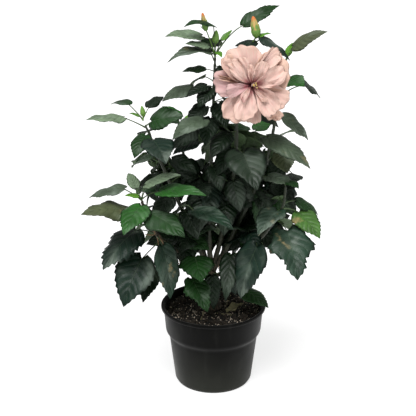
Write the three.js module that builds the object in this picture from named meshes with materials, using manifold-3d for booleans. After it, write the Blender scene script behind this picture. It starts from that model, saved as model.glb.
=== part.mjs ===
// A hibiscus shrub in its nursery pot, with one large double bloom.
// Millimetres, +Z up. The origin is the centre of the pot's flat underside, and the bloom
// looks along -Y. Every solid is closed and keeps GAP to its neighbours.
import * as THREE from "three";
import { mergeVertices } from "three/addons/utils/BufferGeometryUtils.js";
import Module from "manifold-3d";

const wasm = await Module();
wasm.setup();

// ---------------------------------------------------------------- driving sizes
const GAP = 0.3; // clearance between solids that touch

const POT = {
  height: 147,
  baseRadius: 69.5,
  baseCorner: 5,
  cornerCut: 0.3, // share of the corner that its middle point keeps
  baseFlare: 0.6, // how far the wall stands out above the corner
  bodyTopRadius: 80.5, // just under the band
  bandFoot: 91,
  bandRise: 8, // height of the slope under the band
  bandRadius: 86.5,
  bandTopRadius: 90,
  lipHeight: 6,
  lipSlope: 1,
  lipRadius: 95,
  wall: 2,
  floor: 3,
  sides: 30,
  drainRadius: 6,
  drainRing: 46,
  drainCount: 6,
  drainSides: 12,
};

const SOIL = {
  edgeHeight: 133, // at the pot's wall
  crownHeight: 137, // flat patch that the trunk stands on
  crownRadius: 24,
};

const TRUNK = {
  path: [[-3, 0, SOIL.crownHeight + GAP], [-1, 0, 165], [-3, 1, 190], [-5, 2, 212]],
  flareRadius: 18,
  radius: 12,
  forkRadius: 10.5,
  flareShare: 0.35, // share of the trunk's height that the root flare takes
  sides: 12,
  steps: 8,
  groundWidth: 100, // of the block that cuts the flare off level
  groundDepth: 40,
};

// Main boughs: the points that each one passes through, its foot and tip radius, and whether
// its bark is old and brown.
const BOUGHS = {
  bough_left: {
    path: [[-5, 0, 195], [-60, -18, 250], [-98, -30, 290], [-112, -45, 325], [-122, -58, 366]],
    foot: 5.5,
    tip: 2.2,
    old: true,
  },
  bough_upper_left: {
    path: [[-6, 3, 205], [-40, 10, 290], [-70, 5, 360], [-89, 0, 410], [-108, -5, 462], [-120, -8, 492]],
    foot: 5,
    tip: 2,
  },
  bough_centre: {
    path: [[-5, 2, 205], [-8, 5, 300], [-5, 2, 400], [-1, 0, 506], [2, -5, 600]],
    foot: 5,
    tip: 2,
  },
  bough_bloom: {
    path: [[-2, 3, 205], [20, 15, 300], [38, 10, 420], [41, 12, 520], [64, 6, 618]],
    foot: 5,
    tip: 2.2,
  },
  bough_right: {
    path: [[0, 1, 200], [45, 10, 300], [80, 5, 380], [95, 0, 430], [103, 0, 480], [118, 12, 582]],
    foot: 5,
    tip: 2,
  },
  bough_low_right: {
    path: [[0, -3, 190], [55, -15, 250], [95, -25, 300], [120, -32, 346], [122, -32, 385]],
    foot: 4.5,
    tip: 2,
  },
  bough_back_left: {
    path: [[-6, 6, 195], [-30, 55, 285], [-52, 88, 380], [-58, 96, 450]],
    foot: 4.5,
    tip: 2,
  },
  bough_back_right: {
    path: [[-1, 6, 195], [38, 62, 280], [62, 92, 360], [72, 98, 430]],
    foot: 4.5,
    tip: 2,
  },
};
const BOUGH_SIDES = 6;
const BOUGH_STEP = 34; // length of one facet along a bough

const BLOOM = {
  centre: [60, -58, 563],
  turn: 266,
  lift: 12,
  radius: 62,
  ruffle: 0.06, // share of the radius
  secondRuffle: 0.5, // share of the first
  dome: 0.6, // how squarely the front reaches the rim: less is squarer
  petals: 5,
  front: 16, // how far the petals stand in front of the centre
  back: 34, // how far the calyx reaches behind it
  stalkHeight: 548, // where its stalk leaves the bough
  sides: 22,
  rings: 6,
};

// Thin masses, each round the blade of one great leaf and the leaflets beside it. The columns
// are: name, height of the blade's foot; petiole turn, reach and rise from the bough; blade
// turn, droop, length, width, and how far its upper side leans to the front. Turns run
// anticlockwise from +X, in degrees.
const LEAF_MASSES = {
  trunk: [
    ["mass_over_rim", 182, [350, 58, 5], [315, 20, 62, 40, 0]],
  ],
  bough_left: [
    ["mass_left_serrated", 302, [168, 43, 12], [230, 34, 96, 62, 0]],
    ["mass_left_hanging", 256, [214, 42, -25], [240, 48, 92, 66, 35]],
    ["mass_left_low", 225, [178, 35, -40], [260, 36, 70, 36, 30]],
    ["mass_left_brown", 287, [281, 36, -3], [330, 78, 102, 50, 5]],
    ["mass_left_pale", 382, [150, 35, 17], [166, 19, 70, 38, 10]],
    ["mass_left_grey", 343, [168, 33, 13], [212, -6, 92, 54, 20]],
    ["mass_left_bright", 361, [262, 21, 11], [250, 22, 76, 52, 20]],
    ["mass_left_rising", 392, [330, 6, 26], [336, -22, 76, 38, 20]],
    ["mass_left_inward", 386, [329, 33, 20], [335, -3, 92, 44, 15]],
    ["mass_left_veined", 352, [286, 32, 14], [317, 15, 88, 56, 20]],
    ["mass_front_left", 258, [305, 37, 18], [273, 10, 80, 60, 40]],
    ["mass_front_bright", 219, [259, 41, -6], [298, 32, 75, 46, 20]],
  ],
  bough_upper_left: [
    ["mass_front_long", 344, [287, 60, 14], [322, 8, 95, 48, 10]],
    ["mass_shoulder_round", 470, [236, 18, 10], [252, 31, 55, 34, 20]],
    ["mass_shoulder_pale", 495, [171, 38, 19], [207, -2, 72, 36, 10]],
    ["mass_shoulder_tip", 515, [138, 27, 23], [139, 8, 50, 30, 10]],
    ["mass_shoulder_inner", 487, [302, 15, 7], [337, -15, 66, 44, 45]],
    ["mass_shoulder_blue", 467, [281, 37, 17], [288, 17, 76, 50, 10]],
  ],
  bough_centre: [
    ["mass_top_left", 648, [101, 5, 48], [214, -9, 60, 34, 15]],
    ["mass_top_long", 633, [146, 27, 33], [210, -2, 72, 38, 15]],
    ["mass_top_curled", 605, [231, 6, 15], [202, -1, 82, 40, 10]],
    ["mass_top_right", 646, [28, 53, 46], [25, -24, 76, 40, 20]],
    ["mass_centre_grey", 549, [170, 36, 19], [221, 16, 68, 36, 10]],
    ["mass_centre_blue", 499, [253, 38, 19], [226, 11, 84, 46, 20]],
  ],
  bough_bloom: [
    ["mass_behind_bloom", 631, [340, 17, 20], [325, 32, 68, 34, 0]],
    ["mass_under_bloom", 450, [278, 70, 30], [284, 31, 86, 78, 15]],
  ],
  bough_right: [
    ["mass_right_top", 613, [11, 15, 33], [330, -25, 70, 38, 30]],
    ["mass_right_beside", 553, [45, 18, 8], [296, 0, 56, 40, 45]],
    ["mass_right_outer", 547, [20, 46, 22], [46, 34, 61, 34, 30]],
    ["mass_right_narrow", 496, [356, 13, 10], [24, 44, 75, 38, 30]],
    ["mass_right_long", 468, [239, 23, 8], [326, 24, 102, 46, 15]],
    ["mass_right_round", 432, [32, 34, 17], [274, 28, 60, 42, 20]],
    ["mass_right_inner", 391, [297, 16, 8], [320, 4, 64, 38, 15]],
  ],
  bough_low_right: [
    ["mass_low_right_mid", 343, [264, 20, 8], [233, 19, 72, 46, 5]],
    ["mass_low_right_outer", 338, [2, 32, -2], [301, 34, 68, 44, 20]],
    ["mass_low_right_lobed", 311, [299, 37, -9], [281, 40, 96, 78, 0]],
    ["mass_front_right", 292, [268, 55, 20], [195, 75, 105, 62, 15]],
    ["mass_front_narrow", 261, [237, 35, 20], [265, 48, 86, 38, 20]],
  ],
};

// Full masses inside and behind the crown: name, centre, half sizes, and how many lobes.
const FULL_MASSES = [
  ["mass_inner_left", [-48, 12, 276], [32, 26, 24], 3],
  ["mass_inner_right", [66, 24, 284], [28, 24, 24], 3],
  ["mass_inner_centre", [-8, 28, 372], [46, 26, 26], 4],
  ["mass_inner_high", [98, 30, 352], [24, 26, 32], 3],
  ["mass_back_low_left", [-66, 96, 262], [60, 46, 38], 5],
  ["mass_back_low_right", [64, 98, 258], [60, 46, 38], 5],
  ["mass_back_left", [-98, 96, 368], [48, 44, 50], 4],
  ["mass_back_right", [92, 104, 398], [54, 44, 54], 4],
  ["mass_back_high", [16, 84, 440], [46, 42, 54], 5],
];

const STALK = { radius: 1.7, bow: 6, elbow: 0.6, inside: 8, sides: 3, steps: 2 };
const PAD = {
  thickness: 9,
  belly: 0.62, // how near its foot a blade is widest: less is nearer
  sides: 6,
  stations: 8,
  arch: 0.05,
  sideDroop: 0.18,
  ripple: 0.07,
  rippleTurns: 9, // radians of ripple along one edge
};
const FULL = { sides: 12, rings: 7, lobe: 0.2, tier: 0.1, twist: 2.5 };

// ---------------------------------------------------------------- materials
function material(colour, roughness, metalness = 0) {
  return new THREE.MeshStandardMaterial({ color: colour, roughness, metalness });
}
const MATERIALS = {
  pot: () => material(0x2b2b29, 0.5),
  soil: () => material(0x1d1713, 0.95),
  bark: () => material(0x6b5a46, 0.85),
  shoot: () => material(0x4f5a38, 0.7),
  petal: () => material(0xeecbc0, 0.6),
  leaf: () => material(0x284a2c, 0.45),
  leafInside: () => material(0x1c3322, 0.55),
};

// ---------------------------------------------------------------- solids and meshes
function closedSolid(geometry) {
  const bare = geometry.clone();
  bare.deleteAttribute("normal");
  bare.deleteAttribute("uv");
  const welded = mergeVertices(bare, 1e-4);
  return new wasm.Manifold(
    new wasm.Mesh({
      numProp: 3,
      vertProperties: new Float32Array(welded.attributes.position.array),
      triVerts: new Uint32Array(welded.index.array),
    }),
  );
}

function namedMesh(name, solid, finish) {
  const { numProp, vertProperties, triVerts } = solid.getMesh();
  const points = [];
  for (let i = 0; i < vertProperties.length; i += numProp) {
    points.push(vertProperties[i], vertProperties[i + 1], vertProperties[i + 2]);
  }
  const geometry = new THREE.BufferGeometry();
  geometry.setAttribute("position", new THREE.Float32BufferAttribute(points, 3));
  geometry.setIndex(Array.from(triVerts));
  geometry.computeVertexNormals();
  const mesh = new THREE.Mesh(geometry, finish);
  mesh.name = name;
  return mesh;
}

// Moves every vertex of a geometry to where shape(x, y, z) says.
function reshape(geometry, shape) {
  const position = geometry.attributes.position;
  for (let i = 0; i < position.count; i += 1) {
    const to = shape(position.getX(i), position.getY(i), position.getZ(i));
    position.setXYZ(i, to.x, to.y, to.z);
  }
  return geometry;
}

function boxesMeet(a, b) {
  const low = a.boundingBox();
  const high = b.boundingBox();
  return [0, 1, 2].every((k) => low.min[k] <= high.max[k] && high.min[k] <= low.max[k]);
}

function largestPiece(solid) {
  const pieces = solid.decompose();
  return pieces.reduce((best, piece) => (piece.volume() > best.volume() ? piece : best));
}

// Every solid that later ones are cut round, each grown by the gap.
const kept = [];

function place(name, shape, finish) {
  let solid = shape(0);
  for (const other of kept) {
    if (boxesMeet(solid, other)) {
      solid = solid.subtract(other);
    }
  }
  kept.push(shape(GAP));
  return namedMesh(name, largestPiece(solid), finish);
}

// ---------------------------------------------------------------- directions
function heading(turn, droop = 0) {
  const t = THREE.MathUtils.degToRad(turn);
  const d = THREE.MathUtils.degToRad(droop);
  return new THREE.Vector3(Math.cos(t) * Math.cos(d), Math.sin(t) * Math.cos(d), -Math.sin(d));
}

const UP = new THREE.Vector3(0, 0, 1);
const FRONT = 270; // the turn that looks along -Y

// The part of a direction that is square to an axis, as a unit vector.
function squareTo(axis, direction) {
  return direction.clone().addScaledVector(axis, -direction.dot(axis)).normalize();
}

function along(origin, ...steps) {
  const point = origin.clone();
  for (const [direction, distance] of steps) {
    point.addScaledVector(direction, distance);
  }
  return point;
}

// ---------------------------------------------------------------- pot and soil
function turned(profile) {
  const outline = profile.map(([radius, height]) => new THREE.Vector2(radius, height));
  const geometry = new THREE.LatheGeometry(outline, POT.sides);
  return closedSolid(geometry.rotateX(Math.PI / 2));
}

function potOutline() {
  const corner = POT.baseCorner;
  const lipFoot = POT.height - POT.lipHeight;
  return [
    [0, 0],
    [POT.baseRadius - corner, 0],
    [POT.baseRadius - corner * POT.cornerCut, corner * POT.cornerCut],
    [POT.baseRadius + POT.baseFlare, corner],
    [POT.bodyTopRadius, POT.bandFoot],
    [POT.bandRadius, POT.bandFoot + POT.bandRise],
    [POT.bandTopRadius, lipFoot],
    [POT.lipRadius, lipFoot + POT.lipSlope],
    [POT.lipRadius, POT.height],
  ];
}

function pot() {
  const lipFoot = POT.height - POT.lipHeight;
  const inner = (radius) => radius - POT.wall;
  const solid = turned([
    ...potOutline(),
    [inner(POT.bandTopRadius), POT.height],
    [inner(POT.bandTopRadius), lipFoot],
    [inner(POT.bandRadius), POT.bandFoot + POT.bandRise],
    [inner(POT.bodyTopRadius), POT.bandFoot],
    [inner(POT.baseRadius), POT.floor],
    [0, POT.floor],
  ]);
  let holed = solid;
  for (let i = 0; i < POT.drainCount; i += 1) {
    const depth = POT.floor * 3;
    const hole = new THREE.CylinderGeometry(POT.drainRadius, POT.drainRadius, depth, POT.drainSides);
    const at = heading((360 / POT.drainCount) * (i + 0.5)).multiplyScalar(POT.drainRing);
    hole.rotateX(Math.PI / 2).translate(at.x, at.y, 0);
    holed = holed.subtract(closedSolid(hole));
  }
  kept.push(solid);
  return namedMesh("pot", holed, MATERIALS.pot());
}

function soil() {
  const inner = (radius) => radius - POT.wall - GAP;
  const bandEdge = POT.bandFoot + POT.bandRise;
  const share = (SOIL.edgeHeight - bandEdge) / (POT.height - POT.lipHeight - bandEdge);
  const edgeRadius = THREE.MathUtils.lerp(POT.bandRadius, POT.bandTopRadius, share);
  const solid = turned([
    [0, POT.floor + GAP],
    [inner(POT.baseRadius), POT.floor + GAP],
    [inner(POT.bodyTopRadius), POT.bandFoot],
    [inner(POT.bandRadius), bandEdge],
    [inner(edgeRadius), SOIL.edgeHeight],
    [SOIL.crownRadius, SOIL.crownHeight],
    [0, SOIL.crownHeight],
  ]);
  kept.push(solid);
  return namedMesh("soil", solid, MATERIALS.soil());
}

// ---------------------------------------------------------------- trunk and boughs
function curveOf(path) {
  return new THREE.CatmullRomCurve3(path.map((point) => new THREE.Vector3(...point)));
}

// A closed limb along a curve. radiusAt gives its radius at a share of its length.
function limb(curve, radiusAt, sides, steps) {
  const frames = curve.computeFrenetFrames(steps);
  const rod = new THREE.CylinderGeometry(1, 1, 1, sides, steps);
  return closedSolid(
    reshape(rod, (x, y, z) => {
      const share = y + 0.5;
      const step = Math.round(share * steps);
      const radius = radiusAt(share);
      return along(
        curve.getPointAt(share),
        [frames.normals[step], z * radius],
        [frames.binormals[step], x * radius],
      );
    }),
  );
}

function trunk() {
  const curve = curveOf(TRUNK.path);
  const radiusAt = (share) => {
    const flare = Math.max(0, 1 - share / TRUNK.flareShare) ** 2;
    const stem = THREE.MathUtils.lerp(TRUNK.radius, TRUNK.forkRadius, share);
    return stem + (TRUNK.flareRadius - TRUNK.radius) * flare;
  };
  const level = SOIL.crownHeight + GAP;
  const shape = (grown) => {
    const round = limb(curve, (share) => radiusAt(share) + grown, TRUNK.sides, TRUNK.steps);
    const ground = new THREE.BoxGeometry(TRUNK.groundWidth, TRUNK.groundWidth, TRUNK.groundDepth);
    return round.subtract(closedSolid(ground.translate(0, 0, level - TRUNK.groundDepth / 2)));
  };
  return place("trunk", shape, MATERIALS.bark());
}

function bough(name) {
  const { path, foot, tip, old } = BOUGHS[name];
  const curve = curveOf(path);
  const steps = Math.round(curve.getLength() / BOUGH_STEP);
  const radiusAt = (share) => THREE.MathUtils.lerp(foot, tip, share);
  const shape = (grown) => limb(curve, (share) => radiusAt(share) + grown, BOUGH_SIDES, steps);
  return place(name, shape, old ? MATERIALS.bark() : MATERIALS.shoot());
}

const HALVINGS = 24; // of the search for a height on a curve

// The point where a rising curve passes a height, held to the curve's ends.
function pointAtHeight(curve, height) {
  let low = 0;
  let high = 1;
  for (let i = 0; i < HALVINGS; i += 1) {
    const middle = (low + high) / 2;
    if (curve.getPointAt(middle).z < height) {
      low = middle;
    } else {
      high = middle;
    }
  }
  return curve.getPointAt(low);
}

// A leaf's or bloom's stalk, from inside its bough to inside the blade or calyx.
function stalk(node, foot, axis, grown) {
  const elbow = along(node.clone().lerp(foot, STALK.elbow), [UP, STALK.bow]);
  const curve = new THREE.QuadraticBezierCurve3(node, elbow, along(foot, [axis, STALK.inside]));
  return limb(curve, () => STALK.radius + grown, STALK.sides, STALK.steps);
}

// ---------------------------------------------------------------- bloom
function bloom() {
  const centre = new THREE.Vector3(...BLOOM.centre);
  const face = heading(BLOOM.turn, -BLOOM.lift);
  const side = new THREE.Vector3().crossVectors(face, UP).normalize();
  const top = new THREE.Vector3().crossVectors(side, face);
  const node = pointAtHeight(curveOf(BOUGHS.bough_bloom.path), BLOOM.stalkHeight);
  const calyx = along(centre, [face, -BLOOM.back]);
  const shape = (grown) => {
    const ball = new THREE.SphereGeometry(1, BLOOM.sides, BLOOM.rings);
    const flower = closedSolid(
      reshape(ball, (x, y, z) => {
        const round = Math.atan2(z, x);
        const first = Math.sin(BLOOM.petals * round);
        const ruffle = first + BLOOM.secondRuffle * Math.sin(BLOOM.petals * 2 * round + 1);
        const spread = Math.hypot(x, z) ** (y > 0 ? BLOOM.dome : 1);
        const reach = (BLOOM.radius * (1 + BLOOM.ruffle * ruffle) + grown) * spread;
        const depth = y > 0 ? y * (BLOOM.front + grown) : y * (BLOOM.back + grown);
        const across = [side, reach * Math.cos(round)];
        return along(centre, across, [top, reach * Math.sin(round)], [face, depth]);
      }),
    );
    return flower.add(stalk(node, calyx, face, grown));
  };
  return place("bloom", shape, MATERIALS.petal());
}

// ---------------------------------------------------------------- foliage masses
// Half the width of a leaf at a share of its length: a round foot and a drawn-out tip.
function ovate(share) {
  return Math.sin(Math.PI * share ** PAD.belly);
}

function leafMass(number, bearer, [name, height, petiole, bladeRow]) {
  const [petioleTurn, reach, rise] = petiole;
  const [bladeTurn, droop, length, width, lean] = bladeRow;
  const limbPath = bearer === "trunk" ? TRUNK.path : BOUGHS[bearer].path;
  const node = pointAtHeight(curveOf(limbPath), height - rise);
  const out = heading(petioleTurn);
  const foot = along(node, [out, reach], [UP, rise]);
  const axis = heading(bladeTurn, droop);
  const face = squareTo(axis, heading(FRONT, lean - 90));
  const side = new THREE.Vector3().crossVectors(face, axis);
  const shape = (grown) => {
    const ball = new THREE.SphereGeometry(1, PAD.sides, PAD.stations);
    const blade = closedSolid(
      reshape(ball, (x, y, z) => {
        const share = Math.acos(THREE.MathUtils.clamp(y, -1, 1)) / Math.PI;
        const round = Math.atan2(z, x);
        const edge = x < 0 ? 2 : 0;
        const ripple = 1 + PAD.ripple * Math.sin(PAD.rippleTurns * share + number + edge);
        const across = Math.cos(round) * ovate(share) * ((width / 2) * ripple + grown);
        const thick = Math.sin(round) * Math.sqrt(ovate(share)) * (PAD.thickness / 2 + grown);
        const arch = PAD.arch * length * Math.sin(Math.PI * share) - PAD.sideDroop * Math.abs(across);
        const run = length * share + (2 * share - 1) * grown;
        return along(foot, [axis, run], [side, across], [face, thick + arch]);
      }),
    );
    return blade.add(stalk(node, foot, axis, grown));
  };
  return place(name, shape, MATERIALS.leaf());
}

function fullMass([name, centre, halves, lobes]) {
  const middle = new THREE.Vector3(...centre);
  const shape = (grown) => {
    const ball = new THREE.SphereGeometry(1, FULL.sides, FULL.rings);
    return closedSolid(
      reshape(ball, (x, y, z) => {
        const round = Math.atan2(z, x);
        const waist = Math.hypot(x, z);
        const lobed = waist * Math.sin(lobes * round + FULL.twist * y);
        const swell = 1 + FULL.lobe * lobed + FULL.tier * Math.sin(FULL.twist * y + lobes);
        const half = halves.map((size) => size * swell + grown);
        return along(middle, [new THREE.Vector3(x * half[0], -z * half[1], y * half[2]), 1]);
      }),
    );
  };
  return place(name, shape, MATERIALS.leafInside());
}

// ---------------------------------------------------------------- the whole plant
const shrub = new THREE.Group();
shrub.add(pot(), soil(), trunk());
for (const name of Object.keys(BOUGHS)) {
  shrub.add(bough(name));
}
shrub.add(bloom());
let massNumber = 0;
for (const [bearer, rows] of Object.entries(LEAF_MASSES)) {
  for (const row of rows) {
    massNumber += 1;
    shrub.add(leafMass(massNumber, bearer, row));
  }
}
for (const row of FULL_MASSES) {
  shrub.add(fullMass(row));
}

export default shrub;
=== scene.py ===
"""A hibiscus shrub in its nursery pot: a forked trunk, eight boughs, great leaves on long
stalks, leafy sprays inside and behind the crown, buds, and one large double bloom.

Metres, +Z up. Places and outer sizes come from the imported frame, and everything finer
grows on from it by seeded rules."""

import math
from collections import namedtuple

import bmesh
import bpy
import numpy as np
from bpy.props import FloatProperty, FloatVectorProperty, IntProperty, PointerProperty
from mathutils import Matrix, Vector
from mathutils.bvhtree import BVHTree


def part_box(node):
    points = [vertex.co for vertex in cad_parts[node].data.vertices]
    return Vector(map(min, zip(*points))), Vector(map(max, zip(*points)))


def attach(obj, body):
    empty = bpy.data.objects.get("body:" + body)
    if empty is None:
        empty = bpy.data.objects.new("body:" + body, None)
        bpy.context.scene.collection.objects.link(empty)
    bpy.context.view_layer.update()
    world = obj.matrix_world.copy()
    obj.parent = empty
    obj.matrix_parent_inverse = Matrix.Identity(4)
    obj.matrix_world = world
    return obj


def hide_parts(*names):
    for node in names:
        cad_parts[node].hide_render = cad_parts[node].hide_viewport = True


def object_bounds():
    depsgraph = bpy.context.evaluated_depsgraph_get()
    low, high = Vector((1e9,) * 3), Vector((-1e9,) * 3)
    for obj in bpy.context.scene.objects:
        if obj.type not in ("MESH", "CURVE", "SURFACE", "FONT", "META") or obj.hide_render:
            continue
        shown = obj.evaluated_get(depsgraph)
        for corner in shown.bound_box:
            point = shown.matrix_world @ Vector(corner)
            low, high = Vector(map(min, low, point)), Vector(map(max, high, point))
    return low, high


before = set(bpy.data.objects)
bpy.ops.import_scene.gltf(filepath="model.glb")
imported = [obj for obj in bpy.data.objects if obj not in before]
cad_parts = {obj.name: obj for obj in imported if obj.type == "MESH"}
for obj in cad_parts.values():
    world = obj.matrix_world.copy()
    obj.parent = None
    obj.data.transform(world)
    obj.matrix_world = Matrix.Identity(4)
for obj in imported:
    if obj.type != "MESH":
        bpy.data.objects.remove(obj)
CAD_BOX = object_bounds()

bl_info = {
    "name": "Potted hibiscus shrub",
    "version": (1, 0, 0),
    "blender": (4, 5, 0),
    "location": "3D View > Sidebar > Shrub",
    "description": "Grows a hibiscus shrub in its nursery pot round the packed frame",
    "category": "Add Mesh",
}

MM = 0.001
UP = np.array([0.0, 0.0, 1.0])
FRONT = np.array([0.0, -1.0, 0.0])
GOLDEN_TURN = 137.5
SEEDS = {"soil": 21, "limbs": 5, "great_leaves": 39, "young_leaves": 77, "buds": 8, "bloom": 26}
BOUGH_STEP = 9 * MM
BOUGHS = sorted(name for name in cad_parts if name.startswith("bough_"))
MASSES = sorted(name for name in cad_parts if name.startswith("mass_"))
FULL_MASSES = [name for name in MASSES if name.startswith(("mass_inner", "mass_back"))]
LEAF_MASSES = [name for name in MASSES if name not in FULL_MASSES]


# ---------------------------------------------------------------- settings
def distance(name, description, default):
    return FloatProperty(
        name=name, description=description, default=default, subtype="DISTANCE", unit="LENGTH"
    )


def number(name, description, default):
    return IntProperty(name=name, description=description, default=default, min=1)


def colour(name, description, *levels):
    """A colour property from 0 to 255 display levels."""
    linear = [((c / 255 + 0.055) / 1.055) ** 2.4 if c > 10 else c / 255 / 12.92 for c in levels]
    return FloatVectorProperty(
        name=name, description=description, default=linear, size=3, min=0, max=1, subtype="COLOR"
    )


class PotSettings(bpy.types.PropertyGroup):
    """The nursery pot."""

    wall: distance("Wall", "Thickness of the wall", 2 * MM)
    floor: distance("Floor", "Thickness of the floor", 3 * MM)
    round: distance("Edge radius", "Rounding of the moulded edges", 4 * MM)
    sides: number("Segments", "Facets round the pot", 120)
    plastic: colour("Plastic", "Black moulded plastic", 3, 3, 2)
    scuff: colour("Scuffs", "Dusty, rubbed plastic", 24, 24, 22)
    # The dust colour is dust together with a painted reflection of the pale floor, laid on thickest near the
    # foot.
    dust_and_floor_reflection: colour("Dust", "Pale dust, thickest near the foot", 46, 48, 42)


class SoilSettings(bpy.types.PropertyGroup):
    """The potting soil and what lies on it."""

    bumps: distance("Bumps", "Height of the soil's bumps", 2.6 * MM)
    chips: number("Chips", "Bark chips on the soil", 420)
    specks: number("Specks", "Pale grit on the soil", 820)
    soil: colour("Soil", "Moist potting soil", 20, 19, 14)
    chip: colour("Bark chip", "Composted bark", 52, 44, 34)
    grit: colour("Grit", "Pale tan and pink specks", 206, 190, 172)
    dry: colour("Dry leaf", "A withered leaf", 118, 112, 84)


class LimbSettings(bpy.types.PropertyGroup):
    """The trunk and the boughs."""

    joint_gap: distance("Joint gap", "Length of stem between leaf joints", 24 * MM)
    joint_swell: distance("Joint swell", "How far a leaf joint stands out", 0.7 * MM)
    ridge: distance("Bark ridges", "Height of the ridges in old bark", 0.7 * MM)
    bark: colour("Old bark", "Grey-brown woody bark", 54, 47, 37)
    shoot: colour("Young bark", "Green bark of the upper boughs", 34, 43, 24)
    stalk: colour("Leaf stalks", "Green stalks of the leaves", 62, 84, 44)
    dry: colour("Dry twigs", "Withered stalks that still hang", 136, 112, 84)


class LeafSettings(bpy.types.PropertyGroup):
    """The leaves."""

    thickness: distance("Thickness", "Thickness of a blade", 0.7 * MM)
    stalk: distance("Stalk", "Radius of a leaf stalk", 1.15 * MM)
    # The deep, bright and grey tones are partly painted light: deep is the dark green of old leaves with
    # painted shade, bright a green painted lighter as if in full light, and grey a green with a painted
    # highlight.
    deep: colour("Deep", "Old leaves in shade", 11, 29, 12)
    blue: colour("Blue-green", "Old leaves with a blue bloom", 16, 37, 27)
    mid: colour("Middle green", "Full-grown leaves", 24, 58, 20)
    bright: colour("Bright green", "Leaves in full light", 40, 92, 32)
    olive: colour("Olive", "Ageing leaves", 80, 88, 60)
    grey: colour("Grey-green", "Leaves that catch the light", 70, 84, 66)
    sage: colour("Sage", "Pale, matt leaves", 116, 136, 108)
    fresh: colour("Fresh green", "Young leaves at the tips", 96, 150, 46)
    tanned: colour("Tanned", "Blue-green leaves with tan patches", 34, 56, 42)
    faded: colour("Faded", "Bright leaves that fade to tan", 68, 106, 46)
    underside: colour("Underside", "The pale lower face", 84, 106, 72)
    vein: colour("Veins", "Midrib and side veins", 102, 126, 94)
    # The sheen colour is a painted highlight: pale grey-green laid where a blade would catch the light.
    sheen: colour("Sheen", "Where the wax of a blade catches the light", 150, 164, 150)
    blotch: colour("Blotches", "Tan patches of age", 150, 132, 92)


class SpraySettings(bpy.types.PropertyGroup):
    """The leafy sprays inside and behind the crown."""

    seed: number("Seed", "Start of the growing rule", 511)
    twigs: number("Twigs", "Twigs in a mass", 4)
    leaves: number("Leaves", "Leaves on a twig", 5)
    longest: distance("Longest leaf", "Length of the longest blade", 92 * MM)
    shortest: distance("Shortest leaf", "Length of the shortest blade", 60 * MM)


class BloomSettings(bpy.types.PropertyGroup):
    """The double bloom and the buds."""

    thickness: distance("Thickness", "Thickness of a petal", 0.5 * MM)
    blush: colour("Blush", "Body of the petals", 222, 192, 180)
    peach: colour("Peach", "Warm petals and edges", 219, 185, 164)
    mauve: colour("Mauve", "Thin petals in shade", 202, 168, 166)
    rose: colour("Rose", "Streaks towards the eye", 196, 96, 112)
    maroon: colour("Eye", "Dark red heart of the bloom", 96, 22, 34)
    # The tan colour is painted shade: the tinted shadow in the folds of the petals.
    tan: colour("Shadow tan", "Bruised folds", 164, 122, 88)
    anther: colour("Anthers", "Yellow pollen heads", 200, 172, 104)
    bud: colour("Bud", "Rolled petals of a bud", 196, 162, 104)
    bud_tip: colour("Bud tip", "Orange tip of a bud", 206, 118, 62)
    calyx: colour("Calyx", "Green cup of a bud", 102, 142, 60)


class StageSettings(bpy.types.PropertyGroup):
    """Floor, lights and camera."""

    floor: colour("Floor", "Plain pale floor", 178, 178, 178)
    glow: FloatProperty(name="Floor glow", description="Light that the floor gives back", default=0.7)
    sky: FloatProperty(name="Sky", description="Strength of the light all round", default=0.3)
    key: FloatProperty(name="Key light", description="Strength of the wide key light", default=3.5)
    fill: FloatProperty(name="Fill light", description="Power of the soft side light", default=6.0)
    distance: distance("Camera distance", "How far in front of the pot it stands", 1.6)
    height: distance("Camera height", "Height above the floor", 0.897)
    aside: distance("Camera aside", "How far left of the pot's middle", 0.0097)
    pitch: FloatProperty(
        name="Camera pitch",
        description="How far the camera looks down",
        default=math.radians(19.5),
        subtype="ANGLE",
    )
    lens: FloatProperty(name="Lens", description="Focal length in millimetres", default=83.86)


# ---------------------------------------------------------------- directions
def unit(vector):
    return vector / np.linalg.norm(vector)


def heading(turn, climb=0.0):
    """The direction at a turn anticlockwise from +X and a climb above level, in degrees."""
    t, c = math.radians(turn), math.radians(climb)
    return np.array([math.cos(t) * math.cos(c), math.sin(t) * math.cos(c), math.sin(c)])


def square_to(axis, direction):
    return unit(direction - axis * direction.dot(axis))


def bent_path(start, end, bow, steps):
    """A path from start to end that bows by a vector, at steps + 1 points."""
    t = np.linspace(0, 1, steps + 1)[:, None]
    return start + (end - start) * t + np.asarray(bow) * 4 * t * (1 - t)


def straight_path(start, end, steps):
    return bent_path(start, end, np.zeros(3), steps)


def round_about(across, beyond, turn):
    """The direction at a turn, in radians, from across towards beyond."""
    return across * math.cos(turn) + beyond * math.sin(turn)


def frames_along(path):
    """The tangent of a path at each point, and two directions square to it that don't twist."""
    tangents = np.gradient(path, axis=0)
    tangents /= np.linalg.norm(tangents, axis=1)[:, None]
    first = UP if abs(tangents[0][2]) < 0.9 else np.array([1.0, 0.0, 0.0])
    across = [square_to(tangents[0], first)]
    for tangent in tangents[1:]:
        across.append(square_to(tangent, across[-1]))
    across = np.array(across)
    return tangents, across, np.cross(tangents, across)


def ripples(rng, amount, scale):
    """A smooth uneven field over points: a few plane waves at random."""
    waves = rng.normal(size=(7, 3)) * 2 * np.pi / scale
    phases = rng.uniform(0, 2 * np.pi, 7)
    return lambda points: amount * np.sin(points @ waves.T + phases).mean(axis=1) * 1.8


# ---------------------------------------------------------------- patterns
class Pattern:
    """A shape kept as arrays, so that it can be laid many times into one mesh."""

    def __init__(self, bm, uv_of):
        bm.verts.index_update()
        self.points = np.array([v.co[:] for v in bm.verts])
        self.points[:, 0] = np.clip(self.points[:, 0], 0, 1)
        self.sizes = np.array([len(f.verts) for f in bm.faces])
        self.corners = np.array([v.index for f in bm.faces for v in f.verts])
        self.finish = np.array([f.material_index for f in bm.faces])
        self.uv = np.array([uv_of(f, v) for f in bm.faces for v in f.verts])
        bm.free()


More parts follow.
